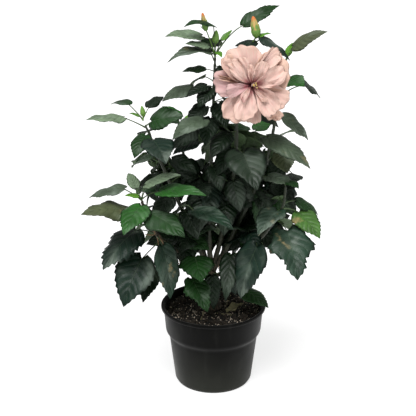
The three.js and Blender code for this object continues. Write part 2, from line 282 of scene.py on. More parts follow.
def blade_pattern(rows, columns, teeth=1):
    """A closed thin blade: x is the share of its length, y runs from -1 to 1 across it, and
    z is 1 on the upper face, -1 on the lower one and 0 round the rim."""
    bm = bmesh.new()
    bmesh.ops.create_grid(bm, x_segments=rows, y_segments=columns, size=1)
    lower = bmesh.ops.duplicate(bm, geom=bm.verts[:] + bm.edges[:] + bm.faces[:])["geom"]
    lower_faces = [g for g in lower if isinstance(g, bmesh.types.BMFace)]
    bmesh.ops.reverse_faces(bm, faces=lower_faces)
    for face in lower_faces:
        face.material_index = 1
    lower_points = {g for g in lower if isinstance(g, bmesh.types.BMVert)}
    for v in bm.verts:
        inside = max(abs(v.co.x), abs(v.co.y)) < 1 - 1e-4
        v.co.z = (-1 if v in lower_points else 1) * inside
        v.co.x = 0.5 + 0.494 * v.co.x
    bmesh.ops.remove_doubles(bm, verts=bm.verts, dist=1e-4)
    pattern = Pattern(bm, lambda f, v: (v.co.x, 0.5 + 0.5 * v.co.y))
    pattern.teeth = teeth
    return pattern


def rod_pattern(sides, rows):
    """A closed rod: x is the share of its length, and y and z lie on the unit circle."""
    bm = bmesh.new()
    bmesh.ops.create_circle(bm, cap_ends=True, segments=sides, radius=1)
    edges = bm.edges[:]
    for _ in range(rows):
        grown = bmesh.ops.extrude_edge_only(bm, edges=edges)["geom"]
        edges = [g for g in grown if isinstance(g, bmesh.types.BMEdge)]
        verts = [g for g in grown if isinstance(g, bmesh.types.BMVert)]
        bmesh.ops.translate(bm, verts=verts, vec=(0, 0, 1 / rows))
    bmesh.ops.edgeloop_fill(bm, edges=edges)
    bmesh.ops.recalc_face_normals(bm, faces=bm.faces)
    for v in bm.verts:
        v.co = (v.co.z, v.co.x, v.co.y)

    def uv_of(face, v):
        middle = face.calc_center_median()
        round_middle = math.atan2(middle.z, middle.y)
        offset = math.atan2(v.co.z, v.co.y) - round_middle
        offset = (offset + math.pi) % (2 * math.pi) - math.pi
        return (v.co.x, (round_middle + offset) / (2 * math.pi) + 0.5)

    return Pattern(bm, uv_of)


def chip_pattern():
    """A small block with its corners cut."""
    bm = bmesh.new()
    bmesh.ops.create_cube(bm, size=2)
    bmesh.ops.bevel(
        bm, geom=bm.verts[:], offset=0.5, affect="VERTICES", segments=1, profile=0.5, material=-1
    )
    return Pattern(bm, lambda f, v: (v.co.x, v.co.y))


class Joined:
    """Many laid patterns that become one mesh."""

    def __init__(self):
        self.laid = []

    def add(self, pattern, points, finish):
        """finish is the material index of every face, or one for each face of the pattern."""
        finish = np.broadcast_to(finish, pattern.sizes.shape)
        self.laid.append((pattern, points, finish))

    def rod(self, pattern, path, radius_at, finish=0, relief=None):
        self.add(pattern, rod_points(pattern, path, radius_at, relief), finish)

    def leaf(self, pattern, blade, habit, thickness, rng, finish=0):
        self.add(pattern, leaf_points(pattern, blade, habit, thickness, rng), finish)

    def piece(self, name, finishes, slot, *nodes):
        return piece(name, self.mesh(name, finishes), slot, *nodes)

    def mesh(self, name, materials):
        mesh = bpy.data.meshes.new(name)
        counts = [len(points) for _, points, _ in self.laid]
        starts = np.cumsum([0] + counts[:-1])
        points = np.concatenate([points for _, points, _ in self.laid])
        corners = np.concatenate([p.corners + s for (p, _, _), s in zip(self.laid, starts)])
        sizes = np.concatenate([p.sizes for p, _, _ in self.laid])
        mesh.vertices.add(len(points))
        mesh.vertices.foreach_set("co", points.astype(np.float32).ravel())
        mesh.loops.add(len(corners))
        mesh.loops.foreach_set("vertex_index", corners.astype(np.int32))
        mesh.polygons.add(len(sizes))
        first = np.concatenate([[0], np.cumsum(sizes)[:-1]]).astype(np.int32)
        mesh.polygons.foreach_set("loop_start", first)
        mesh.polygons.foreach_set("use_smooth", np.ones(len(sizes), bool))
        finish = np.concatenate([f for _, _, f in self.laid]).astype(np.int32)
        mesh.polygons.foreach_set("material_index", finish)
        layer = mesh.uv_layers.new(name="blade")
        uv = np.concatenate([p.uv for p, _, _ in self.laid]).astype(np.float32)
        layer.uv.foreach_set("vector", uv.ravel())
        mesh.update(calc_edges=True)
        if mesh.validate():
            raise RuntimeError(f"{name} has faces that are not sound")
        for material in materials:
            mesh.materials.append(material)
        return mesh


def mesh_of(bm, name, material):
    mesh = bpy.data.meshes.new(name)
    for face in bm.faces:
        face.smooth = True
    bm.to_mesh(mesh)
    bm.free()
    mesh.materials.append(material)
    return mesh


def piece(name, mesh, slot, *nodes):
    """Puts a finished mesh in the scene, on the shrub's one body."""
    obj = bpy.data.objects.new(name, mesh)
    bpy.context.scene.collection.objects.link(obj)
    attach(obj, "root")
    if nodes:
        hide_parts(*nodes)
    return obj


# ---------------------------------------------------------------- the frame's solids
def solid_points(node):
    """The corners of a node's triangles, as an array of (triangle, corner, xyz)."""
    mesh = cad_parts[node].data
    mesh.calc_loop_triangles()
    points = np.array([v.co[:] for v in mesh.vertices])
    triangles = np.array([t.vertices[:] for t in mesh.loop_triangles])
    return points[triangles]


def skin_points(node, rng, count):
    """Points spread evenly over a node's skin."""
    corners = solid_points(node)
    a, b, c = corners[:, 0], corners[:, 1], corners[:, 2]
    areas = np.linalg.norm(np.cross(b - a, c - a), axis=1) / 2
    picks = rng.choice(len(areas), count, p=areas / areas.sum())
    u, v = rng.random((2, count))
    flip = u + v > 1
    u[flip], v[flip] = 1 - u[flip], 1 - v[flip]
    spread = a[picks] + (b - a)[picks] * u[:, None] + (c - a)[picks] * v[:, None]
    return spread, areas.sum() / count


def slice_line(node, step):
    """Points up the middle of a rising limb and its radius at each, from level slices."""
    corners = solid_points(node)
    ends = np.concatenate([corners[:, [0, 1]], corners[:, [1, 2]], corners[:, [2, 0]]])
    low, high = ends[..., 2].min(), ends[..., 2].max()
    middles, reaches = [], []
    for level in np.linspace(low + MM, high - MM, max(4, round((high - low) / step)) + 1):
        rise = ends[..., 2] - level
        cut = rise[:, 0] * rise[:, 1] < 0
        near, far = ends[cut, 0], ends[cut, 1]
        t = (rise[cut, 0] / (rise[cut, 0] - rise[cut, 1]))[:, None]
        ring = near + (far - near) * t
        middles.append(ring.mean(axis=0))
        reaches.append(np.linalg.norm(ring - middles[-1], axis=1).mean())
    middles = np.array(middles)
    tangents, _, _ = frames_along(middles)
    upright = np.clip(np.abs(tangents[:, 2]), 0.4, 1)
    return middles, 2 * np.array(reaches) / (1 + 1 / upright)


def tree_of(nodes):
    """A search tree over the skins of some nodes."""
    corners = np.concatenate([solid_points(node) for node in nodes])
    points = [Vector(p) for p in corners.reshape(-1, 3)]
    triangles = [(i, i + 1, i + 2) for i in range(0, len(points), 3)]
    return BVHTree.FromPolygons(points, triangles)


LIMBS = tree_of(BOUGHS + ["trunk"])
Blade = namedtuple("Blade", "root foot axis face length width")


def root_of(spread, crowd):
    """Where a stalk meets its limb: the thinnest part of a skin that lies on a limb."""
    gaps = np.array([LIMBS.find_nearest(Vector(p))[3] for p in spread])
    touching = np.flatnonzero(gaps < max(2 * MM, gaps.min() + MM))
    start = spread[touching[np.argmin(crowd[touching])]]
    return spread[np.linalg.norm(spread - start, axis=1) < 4 * MM].mean(axis=0)


def crowd_of(spread, cell, radius):
    """The area of skin within a radius of each point."""
    gaps = np.linalg.norm(spread[:, None] - spread[None], axis=2)
    return (gaps < radius).sum(axis=1) * cell


def blade_of(node, rng):
    """The stalk's root, and the foot, tip, face and width of the blade that a mass holds."""
    spread, cell = skin_points(node, rng, 1300)
    radius = 8 * MM
    crowd = crowd_of(spread, cell, radius)
    root = root_of(spread, crowd)
    flat = spread[crowd > 0.62 * 2 * math.pi * radius**2]
    tip = spread[np.argmax(np.linalg.norm(spread - root, axis=1))]
    far = flat[np.argmax(np.linalg.norm(flat - tip, axis=1))]
    foot = flat[np.linalg.norm(flat - far, axis=1) < 7 * MM].mean(axis=0)
    axis = unit(tip - foot)
    foot = foot - axis * 4 * MM
    offsets = flat - foot
    offsets = offsets - np.outer(offsets @ axis, axis)
    _, axes = np.linalg.eigh(offsets.T @ offsets)
    side = square_to(axis, axes[:, 2])
    face = np.cross(side, axis)
    if face @ (UP + 0.4 * FRONT) < 0:
        face = -face
    width = 2.06 * np.percentile(np.abs(offsets @ side), 99.5)
    return Blade(root, foot, axis, face, np.linalg.norm(tip - foot), width)


# ---------------------------------------------------------------- finishes
def rgba(value):
    return (*value, 1.0)


class Finish:
    """A procedural material, put together node by node."""

    def __init__(self, name, roughness=0.5, shine=0.5):
        self.material = bpy.data.materials.new(name)
        self.material.use_nodes = True
        self.tree = self.material.node_tree
        self.shader = self.tree.nodes["Principled BSDF"]
        self.steady(Roughness=roughness, Specular_IOR_Level=shine)

    def node(self, kind, settings, **inputs):
        node = self.tree.nodes.new("ShaderNode" + kind)
        for key, value in settings.items():
            setattr(node, key, value)
        for key, value in inputs.items():
            self.fill(node.inputs[key.replace("_", " ")], value)
        return node

    def fill(self, socket, value):
        if isinstance(value, bpy.types.NodeSocket):
            self.tree.links.new(value, socket)
        else:
            socket.default_value = value

    def place(self):
        return self.node("TexCoord", {}).outputs["Object"]

    def height(self):
        return self.node("SeparateXYZ", {}, Vector=self.place()).outputs["Z"]

    def blade_map(self):
        return self.node("UVMap", {"uv_map": "blade"}).outputs["UV"]

    def on_blade(self):
        """How far along the blade, and how far across it, a point is, from 0 to 1."""
        parts = self.node("SeparateXYZ", {}, Vector=self.blade_map()).outputs
        return parts["X"], parts["Y"]

    def across_blade(self):
        """How far along the blade, and how far from its midrib, a point is."""
        run, side = self.on_blade()
        return run, self.math("ABSOLUTE", self.less(side, 0.5))

    def lit_half(self):
        """A mask that is strong on one side of the midrib: the half that carries the painted highlight, as if
        the fold turned it to the light.
        """
        return self.fade(self.on_blade()[1], 0.44, 0.56, 0.3, 1)

    def math(self, operation, first, second=0.0):
        node = self.node("Math", {"operation": operation})
        self.fill(node.inputs[0], first)
        self.fill(node.inputs[1], second)
        return node.outputs[0]

    def plus(self, first, second):
        return self.math("ADD", first, second)

    def less(self, first, second):
        return self.math("SUBTRACT", first, second)

    def times(self, first, second):
        return self.math("MULTIPLY", first, second)

    def noise(self, scale, detail=3.0, vector=None, stretch=None):
        vector = vector or self.place()
        if stretch:
            node = self.node("Mapping", {}, Vector=vector, Scale=stretch)
            vector = node.outputs["Vector"]
        node = self.node("TexNoise", {}, Vector=vector, Scale=scale, Detail=detail)
        return node.outputs[0]

    def fade(self, value, low, high, to_low=0.0, to_high=1.0):
        """Value from low to high turned smoothly into to_low to to_high."""
        levels = {"Value": value, "From_Min": low, "From_Max": high, "To_Min": to_low, "To_Max": to_high}
        return self.node("MapRange", {"interpolation_type": "SMOOTHSTEP"}, **levels).outputs[0]

    def mix(self, factor, first, second):
        node = self.node("Mix", {"data_type": "RGBA"})
        sockets = [s for s in node.inputs if s.type == "RGBA"]
        self.fill(node.inputs[0], factor)
        self.fill(sockets[0], first)
        self.fill(sockets[1], second)
        return next(s for s in node.outputs if s.type == "RGBA")

    def shade(self, colour_socket):
        self.fill(self.shader.inputs["Base Color"], colour_socket)

    def rough(self, socket):
        self.fill(self.shader.inputs["Roughness"], socket)

    def steady(self, **levels):
        """Sets sockets of the shader that are the same all over the piece."""
        for key, level in levels.items():
            self.shader.inputs[key.replace("_", " ")].default_value = level

    def bump(self, height, depth, strength=1.0):
        node = self.node("Bump", {}, Height=height, Distance=depth, Strength=strength)
        self.fill(self.shader.inputs["Normal"], node.outputs["Normal"])
        return self.material


def darker(value, amount):
    return rgba([c * amount for c in value])


def plastic_finish(pot):
    """Black plastic with rubbed streaks, and a pale tone that thickens towards the foot: dust together with a
    painted reflection of the pale floor.
    """
    finish = Finish("pot_plastic_black", shine=0.06)
    finish.steady(Sheen_Weight=0.12, Sheen_Roughness=0.4)
    cloud = finish.noise(14, 5)
    scuffs = finish.fade(finish.noise(55, 6, stretch=(1, 1, 0.25)), 0.52, 0.72, 0, 0.55)
    base = finish.mix(cloud, darker(pot.plastic, 0.8), rgba(pot.plastic))
    # Paler towards the foot: dust together with a painted reflection of the floor.
    low = finish.plus(finish.height(), finish.times(cloud, 0.05))
    dust_and_reflection_mask = finish.fade(low, 0.0, 0.13, 0.75, 0)
    finish.shade(finish.mix(dust_and_reflection_mask, finish.mix(scuffs, base, rgba(pot.scuff)), rgba(pot.dust_and_floor_reflection)))
    finish.rough(finish.fade(cloud, 0.3, 0.7, 0.4, 0.58))
    return finish.bump(finish.noise(1400, 2), 0.08 * MM, 0.5)


def soil_finish(name, tone, coarse):
    finish = Finish(name, 0.95)
    grain = finish.noise(coarse, 6)
    finish.shade(finish.mix(finish.fade(grain, 0.35, 0.7), darker(tone, 0.45), darker(tone, 1.25)))
    return finish.bump(grain, 0.8 * MM)


def bark_finish(limbs, name, top_of_bark):
    """Woody bark, grained along the limb, that turns green above a height, with pale pores."""
    finish = Finish(name)
    grain = finish.noise(420, 6, stretch=(1, 1, 0.18))
    patch = finish.noise(60, 4)
    wood = finish.mix(finish.fade(grain, 0.36, 0.66), darker(limbs.bark, 0.35), darker(limbs.bark, 2.4))
    green = finish.mix(patch, darker(limbs.shoot, 0.7), darker(limbs.shoot, 1.25))
    rise = finish.plus(finish.height(), finish.times(patch, 0.06))
    age = finish.fade(rise, top_of_bark - 0.04, top_of_bark + 0.1)
    pores = finish.fade(finish.noise(900, 1, stretch=(1, 1, 0.5)), 0.66, 0.72, 0, 0.5)
    body = finish.mix(age, wood, green)
    finish.shade(finish.mix(pores, body, darker(limbs.bark, 1.7)))
    finish.rough(finish.fade(age, 0, 1, 0.85, 0.55))
    return finish.bump(grain, 0.5 * MM, 0.8)


def stalk_finish(limbs):
    finish = Finish("leaf_stalk_green", 0.5)
    streak = finish.noise(180, 3)
    finish.shade(finish.mix(streak, darker(limbs.stalk, 0.7), darker(limbs.stalk, 1.3)))
    return finish.bump(finish.noise(900, 2), 0.1 * MM, 0.5)


def veins(finish, count=6.5, slope=0.55):
    """A mask of midrib and side veins, and the swelling of the blade between them."""
    run, aside = finish.across_blade()
    midrib_width = finish.fade(run, 0, 1, 0.016, 0.004)
    midrib = finish.fade(finish.math("DIVIDE", aside, midrib_width), 0.6, 1.3, 1, 0)
    slant = finish.less(run, finish.times(aside, slope))
    slant = finish.plus(slant, finish.times(finish.noise(70, 1), 0.03))
    gap = finish.math("PINGPONG", slant, 0.5 / count)
    side_veins = finish.times(finish.fade(gap, 0.0025, 0.011, 0.8, 0), finish.fade(aside, 0.28, 0.46, 1, 0.1))
    return finish.math("MAXIMUM", midrib, side_veins), finish.fade(gap, 0, 0.5 / count)


# How strongly each tone of leaf shows its veins, its painted sheen (a painted highlight) and
# tan patches, and how rough it is.
Tone = namedtuple("Tone", "veins sheen blotchy rough")
TONES = {
    "deep": Tone(0.1, 0.16, 0, 0.38),
    "blue": Tone(0.14, 0.34, 0, 0.38),
    "mid": Tone(0.2, 0.25, 0, 0.38),
    "bright": Tone(0.2, 0.2, 0, 0.38),
    "olive": Tone(0.2, 0.25, 0.5, 0.38),
    "grey": Tone(0.2, 0.55, 0.3, 0.34),
    "sage": Tone(0.2, 0.5, 0, 0.5),
    "fresh": Tone(0.2, 0.25, 0, 0.45),
    "tanned": Tone(0.14, 0.45, 0.75, 0.38),
    "faded": Tone(0.28, 0.25, 0.8, 0.38),
}


def upper_face(leaf, name, tone):
    green = getattr(leaf, name)
    finish = Finish("leaf_" + name, shine=0.24)
    mask, swell = veins(finish)
    small = finish.noise(240, 3)
    body = finish.mix(finish.fade(finish.noise(38, 4), 0.3, 0.7), darker(green, 0.72), darker(green, 1.28))
    body = finish.mix(finish.times(small, 0.35), body, darker(green, 0.5))
    if tone.blotchy:
        patch = finish.fade(finish.noise(24, 5), 0.6, 0.68, 0, tone.blotchy)
        body = finish.mix(patch, body, rgba(leaf.blotch))
    # Painted highlight: soft pale patches, strongest on one half of the blade, where it would catch the
    # light.
    painted_sheen_mask = finish.fade(finish.noise(16, 4), 0.48, 0.66, 0, tone.sheen)
    body = finish.mix(finish.times(painted_sheen_mask, finish.lit_half()), body, rgba(leaf.sheen))
    finish.shade(finish.mix(finish.times(mask, tone.veins), body, rgba(leaf.vein)))
    finish.rough(finish.fade(small, 0.3, 0.75, tone.rough, tone.rough + 0.14))
    height = finish.less(finish.times(swell, 0.6), mask)
    height = finish.plus(height, finish.times(small, 0.35))
    height = finish.plus(height, finish.times(finish.noise(800, 2), 0.25))
    finish.bump(height, 1.1 * MM, 0.9)


def lower_face(leaf):
    finish = Finish("leaf_lower_face", 0.6, 0.2)
    mask, swell = veins(finish)
    body = finish.mix(finish.noise(60, 4), darker(leaf.underside, 0.7), darker(leaf.underside, 1.1))
    finish.shade(finish.mix(finish.times(mask, 0.5), body, rgba(leaf.vein)))
    finish.bump(finish.less(mask, swell), 0.6 * MM, 0.7)


def leaf_finishes(leaf):
    """The upper face of each tone, then the lower face, made once for every leafy piece."""
    if "leaf_lower_face" not in bpy.data.materials:
        for name, tone in TONES.items():
            upper_face(leaf, name, tone)
        lower_face(leaf)
    return [bpy.data.materials["leaf_" + name] for name in (*TONES, "lower_face")]


def petal_finish(bloom, name, tone, rim, tan_shade):
    """Petal with fine radial veins, a deep heart, rose streaks, a warm rim and patches of painted shade in
    tan.
    """
    finish = Finish("petal_" + name, 0.65, 0.2)
    run, _ = finish.on_blade()
    ribs = finish.noise(9, 3, finish.blade_map(), (0.35, 9, 1))
    streak = finish.noise(5, 2, finish.blade_map(), (0.5, 3.2, 1))
    cloud = finish.noise(40, 4)
    body = finish.mix(finish.fade(cloud, 0.3, 0.7), darker(tone, 0.92), darker(tone, 1.03))
    body = finish.mix(finish.fade(ribs, 0.45, 0.75, 0, 0.3), body, darker(bloom.rose, 1.5))
    body = finish.mix(finish.fade(run, 0.7, 1, 0, 0.3), body, rim)
    # Painted shade: tan patches that stand in for the tinted shadows in the petals' folds.
    body = finish.mix(finish.fade(cloud, 0.58, 0.75, 0, tan_shade), body, rgba(bloom.tan))
    inward = finish.less(run, finish.times(streak, 0.42))
    body = finish.mix(finish.fade(inward, -0.02, 0.24, 0.6, 0), body, rgba(bloom.rose))
    body = finish.mix(finish.fade(inward, -0.16, 0.0, 1, 0), body, rgba(bloom.maroon))
    finish.shade(body)
    return finish.bump(ribs, 0.9 * MM, 0.9)


def bud_finish(bloom):
    """Rolled petals: tan-yellow with long streaks, orange at the tip."""
    finish = Finish("bud_petal", 0.6, 0.3)
    run, _ = finish.on_blade()
    streak = finish.noise(4, 3, finish.blade_map(), (0.6, 7, 1))
    body = finish.mix(finish.fade(streak, 0.35, 0.7), rgba(bloom.bud), darker(bloom.calyx, 1.1))
    tip = finish.plus(run, finish.times(streak, 0.3))
    finish.shade(finish.mix(finish.fade(tip, 0.85, 1.1), body, rgba(bloom.bud_tip)))
    return finish.bump(streak, 0.6 * MM, 0.8)


def plain_finish(name, tone, spread, scale, roughness):
    """A finish of one tone with soft patches and a fine grain."""
    finish = Finish(name, roughness)
    cloud = finish.noise(scale, 4)
    finish.shade(finish.mix(cloud, darker(tone, 1 - spread), darker(tone, 1 + spread)))
    return finish.bump(finish.noise(scale * 9, 2), 0.2 * MM, 0.5)


# ---------------------------------------------------------------- leaves and stalks
Habit = namedtuple("Habit", "belly teeth heart lobes fold arch droop wave")
PLAIN_HABIT = Habit(0.6, 0.045, 0.07, 0, 0.2, 0.05, 0.05, 0.035)

# What sets some great leaves apart from the plain ones.
HABITS = {
    "mass_left_serrated": {"teeth": 0.13, "fold": 0.05},
    "mass_left_hanging": {"heart": 0.1, "teeth": 0.06},
    "mass_left_grey": {"wave": 0.06},
    "mass_left_brown": {"fold": 0.3},
    "mass_left_inward": {"fold": 0.2},
    "mass_top_left": {"arch": 0.11, "droop": 0.12},
    "mass_top_right": {"teeth": 0.07, "fold": 0.25},
    "mass_top_curled": {"droop": 0.16, "wave": 0.06},
    "mass_top_long": {"fold": 0.2},
    "mass_shoulder_round": {"belly": 0.68, "droop": 0.1},
    "mass_under_bloom": {"heart": 0.16, "belly": 0.52},
    "mass_right_outer": {"wave": 0.05},
    "mass_right_round": {"belly": 0.7, "fold": 0.02},
    "mass_low_right_lobed": {"lobes": 0.2, "heart": 0.12, "teeth": 0.1, "belly": 0.52, "fold": 0.3},
    "mass_low_right_mid": {"heart": 0.1},
    "mass_front_right": {"heart": 0.12, "teeth": 0.07},
    "mass_front_bright": {"wave": 0.06, "lobes": 0.14, "teeth": 0.1},
}

# The tone of each great leaf's upper face.
MASS_TONES = {
    "deep": "left_low under_bloom front_narrow right_outer",
    "blue": "left_serrated left_hanging shoulder_blue front_right behind_bloom",
    "tanned": "low_right_lobed left_brown low_right_mid front_long",
    "faded": "low_right_outer",
    "mid": "left_veined shoulder_tip shoulder_inner shoulder_round top_left top_right over_rim"
    " front_left front_bright",
    "bright": "left_bright left_inward right_beside",
    "olive": "left_grey right_round right_top",
    "grey": "centre_blue centre_grey right_narrow right_long top_curled left_pale right_inner",
    "sage": "top_long shoulder_pale left_rising",
}
TONE_OF = {f"mass_{name}": tone for tone, names in MASS_TONES.items() for name in names.split()}


def leaf_points(pattern, blade, habit, thickness, rng):
    """Lays a leaf on its blade: ovate, toothed, folded at the midrib, arched and waved."""
    run, aside, level = pattern.points.T
    edge = np.abs(aside)
    outline = np.sin(np.pi * run**habit.belly) ** 0.85 * (1 - 0.25 * run**3)
    outline += habit.lobes * (np.cos(2 * np.pi * (run - 0.42) * 2.2) * np.clip(outline, 0, 1))
    saw = (run * pattern.teeth + 1e-6) % 1.0
    toothed = np.clip((run - 0.15) * 6, 0, 1) * np.clip((1 - run) * 5, 0, 1)
    bite = habit.teeth * (saw * 1.5 - 0.4) * toothed * edge**5
    across = blade.width / 2 * aside * (outline + bite)
    heart = habit.heart * edge**1.5 * (1 - run) ** 6
    forward = blade.length * (run + 0.25 * bite - heart)
    lift = blade.length * (habit.arch * 4 * run * (1 - run) - habit.droop * run**3)
    lift += habit.fold * np.abs(across) - 0.5 * across**2 / blade.width
    phase = rng.uniform(0, 2 * np.pi, 2)[(aside > 0).astype(int)]
    lift += blade.width * habit.wave * edge**2 * np.sin(13 * run + phase) * outline
    curl = rng.uniform(-0.05, 0.05) * blade.length * run**2
    lift += thickness / 2 * level
    side = np.cross(blade.face, blade.axis)
    return (
        blade.foot
        + np.outer(forward, blade.axis)
        + np.outer(across + curl, side)
        + np.outer(lift, blade.face)
    )


def kept_inside(foot, axis, length, margin=6 * MM):
    """A length shortened until the tip stays within a margin of the frame's box."""
    low, high = (np.array(corner) for corner in CAD_BOX)
    while (foot + axis * length < low - margin).any() or (foot + axis * length > high + margin).any():
        length *= 0.9
    return length


def rod_points(pattern, path, radius_at, relief=None):
    """Lays a rod along a path. radius_at gives the radius at shares of its length."""
    run, y, z = pattern.points.T
    steps = np.linspace(0, 1, len(path))

    def along(values):
        return np.stack([np.interp(run, steps, values[:, k]) for k in range(3)], axis=1)

    _, across, beyond = frames_along(path)
    across, beyond = along(across), along(beyond)
    radius = radius_at(run)
    points = along(path) + across * (y * radius)[:, None] + beyond * (z * radius)[:, None]
    if relief is not None:
        out = across * y[:, None] + beyond * z[:, None]
        points = points + out * relief(points, run, np.arctan2(z, y))[:, None]
    return points


def tapered(foot, tip):
    return lambda run: foot + (tip - foot) * run


STALK = rod_pattern(6, 8)


def add_stalk(joined, root, foot, axis, radius, rng, finish=0):
    """A leaf stalk from just inside its limb to the foot of its blade."""
    bow = UP * np.linalg.norm(foot - root) * rng.uniform(0.02, 0.12)
    inward = unit(foot - root) * 2 * MM
    path = bent_path(root - inward, foot + axis * 2 * MM, bow, 8)
    joined.rod(STALK, path, lambda run: radius * (1 + 0.5 * (1 - run) ** 6 - 0.25 * run), finish)


def grown_habit(rng, **changes):
    """A plain habit with small seeded differences."""
    habit = PLAIN_HABIT._replace(
        belly=PLAIN_HABIT.belly * rng.uniform(0.92, 1.08),
        teeth=PLAIN_HABIT.teeth * rng.uniform(0.7, 1.4),
        fold=rng.uniform(0.02, 0.42),
        arch=rng.uniform(0.02, 0.08),
        droop=rng.uniform(0.02, 0.12),
        wave=rng.uniform(0.02, 0.06),
    )
    return habit._replace(**changes)


class Foliage:
    """Leaves from one pattern and their stalks, which become one piece of each."""

    def __init__(self, context, pattern, seed):
        self.leaf, self.limbs = context.scene.shrub_leaf, context.scene.shrub_limbs
        self.pattern, self.rng = pattern, np.random.default_rng(seed)
        self.leaves, self.stalks = Joined(), Joined()

    def add(self, blade, habit, tones, stalk):
        """Lays a leaf in one of some tones, on a stalk of a share of the usual radius."""
        points = leaf_points(self.pattern, blade, habit, self.leaf.thickness, self.rng)
        tone = tones[int(self.rng.integers(len(tones)))] if len(tones) > 1 else tones[0]
        finish = np.where(self.pattern.finish == 1, len(TONES), list(TONES).index(tone))
        self.leaves.add(self.pattern, points, finish)
        radius = self.leaf.stalk * stalk
        add_stalk(self.stalks, blade.root, blade.foot, blade.axis, radius, self.rng)

    def pieces(self, name, stalk_name, *nodes):
        self.leaves.piece(name, leaf_finishes(self.leaf), "foliage", *nodes)
        self.stalks.piece(stalk_name, [stalk_finish(self.limbs)], "green_bark")


# ---------------------------------------------------------------- pieces
def rounded(profile, radius, steps=4):
    """A profile with each inner corner turned into a small arc."""
    points = [profile[0]]
    for before, corner, after in zip(profile, profile[1:], profile[2:]):
        back, on = before - corner, after - corner
        reach = min(radius, 0.45 * np.linalg.norm(back), 0.45 * np.linalg.norm(on))
        start, end = corner + unit(back) * reach, corner + unit(on) * reach
        for t in np.linspace(0, 1, steps):
            points.append((1 - t) ** 2 * start + 2 * t * (1 - t) * corner + t**2 * end)
    points.append(profile[-1])
    return points


def turned(profile, sides):
    """A profile of (radius, height) spun round +Z."""
    bm = bmesh.new()
    verts = [bm.verts.new((radius, 0, height)) for radius, height in profile]
    edges = [bm.edges.new(pair) for pair in zip(verts, verts[1:])]
    bmesh.ops.spin(
        bm,
        geom=verts + edges,
        cent=(0, 0, 0),
        axis=(0, 0, 1),
        angle=2 * math.pi,
        steps=sides,
        use_merge=True,
    )
    bmesh.ops.remove_doubles(bm, verts=bm.verts, dist=1e-6)
    bmesh.ops.recalc_face_normals(bm, faces=bm.faces)
    return bm


def pot_outline():
    """The pot's outer (radius, height) points, from the foot up to the lip."""
    corners = solid_points("pot").reshape(-1, 3)
    radii = np.hypot(corners[:, 0], corners[:, 1])
    heights = np.unique(np.round(corners[:, 2], 4))
    return np.array([(radii[np.abs(corners[:, 2] - h) < 1e-4].max(), h) for h in heights])


def outline_radius(height):
    outline = pot_outline()
    return float(np.interp(height, outline[:, 1], outline[:, 0]))


class SHRUB_OT_pot(bpy.types.Operator):
    """Mould the nursery pot with its stepped band, rolled lip and drain holes"""

    bl_idname = "shrub.pot"
    bl_label = "Pot"

    def execute(self, context):
        pot = context.scene.shrub_pot
        outer = pot_outline()
        outer = outer[outer[:, 1] != pot.floor]
        top = outer[-1]
        below_lip = outer[outer[:, 0] < top[0] - 2 * MM]
        wall = np.array([pot.wall, 0])
        inner = [below_lip[-1] - wall + [0, 3 * MM]]
        inner += [point - wall for point in below_lip[::-1] if point[1] > 20 * MM]
        foot = below_lip[1] - wall
        inner += [np.array([foot[0], pot.floor]), np.array([0, pot.floor])]
        lip = [top - [0.4 * MM, 0], top - [2.2 * MM, -0.6 * MM], inner[0] + [1 * MM, 2.4 * MM]]
        profile = [np.array([0.0, 0.0]), *outer[outer[:, 1] < top[1] - 1e-4], *lip, *inner]
        profile = [np.asarray(p, float) for p in profile]
        body = turned(rounded(profile, pot.round), pot.sides)
        mesh = mesh_of(body, "nursery_pot", plastic_finish(pot))
        obj = piece("nursery_pot", mesh, "pot_plastic", "pot")
        self.drill(obj, pot)
        return {"FINISHED"}

    def drill(self, obj, pot):
        """Cuts the drain holes where the frame's pot has them."""
        corners = solid_points("pot").reshape(-1, 3)
        reach = np.hypot(corners[:, 0], corners[:, 1])
        edge = (corners[:, 2] < 1e-5) & (reach > 10 * MM) & (reach < 60 * MM)
        turns = np.degrees(np.arctan2(corners[edge, 1], corners[edge, 0])) % 60
        far, near = reach[edge].max(), reach[edge].min()
        ring, radius = (far + near) / 2, (far - near) / 2
        bm = bmesh.new()
        for turn in np.arange(0, 360, 60) + (turns.max() + turns.min()) / 2:
            grown = bmesh.ops.create_cone(
                bm, cap_ends=True, segments=24, radius1=radius, radius2=radius, depth=pot.floor * 4
            )
            bmesh.ops.translate(bm, verts=grown["verts"], vec=heading(turn) * ring)
        cutter = bpy.data.objects.new("drill", bpy.data.meshes.new("drill"))
        bm.to_mesh(cutter.data)
        bm.free()
        bpy.context.scene.collection.objects.link(cutter)
        cut = obj.modifiers.new("drain holes", "BOOLEAN")
        cut.operation = "DIFFERENCE"
        cut.object = cutter
        cut.solver = "EXACT"
        graph = bpy.context.evaluated_depsgraph_get()
        holed = bpy.data.meshes.new_from_object(obj.evaluated_get(graph))
        obj.modifiers.remove(cut)
        obj.data = holed
        obj.data.name = "nursery_pot"
        bpy.data.objects.remove(cutter)


def soil_level(points, bumps):
    """The height of the soil over points in the pot: a low mound with bumps."""
    low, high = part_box("soil")
    edge = outline_radius(high.z)
    radius = np.linalg.norm(points[:, :2], axis=1)
    mound = high.z - 4 * MM * np.clip(radius / edge, 0, 1) ** 2
    flat = np.concatenate([points[:, :2], np.zeros((len(points), 1))], axis=1)
    return mound + bumps(flat) * np.clip((radius - 14 * MM) / (20 * MM), 0, 1)


# The finishes of what lies on the soil, in the order of its materials.
DARK_CHIP, BROWN_CHIP, GRIT, DRY = range(4)


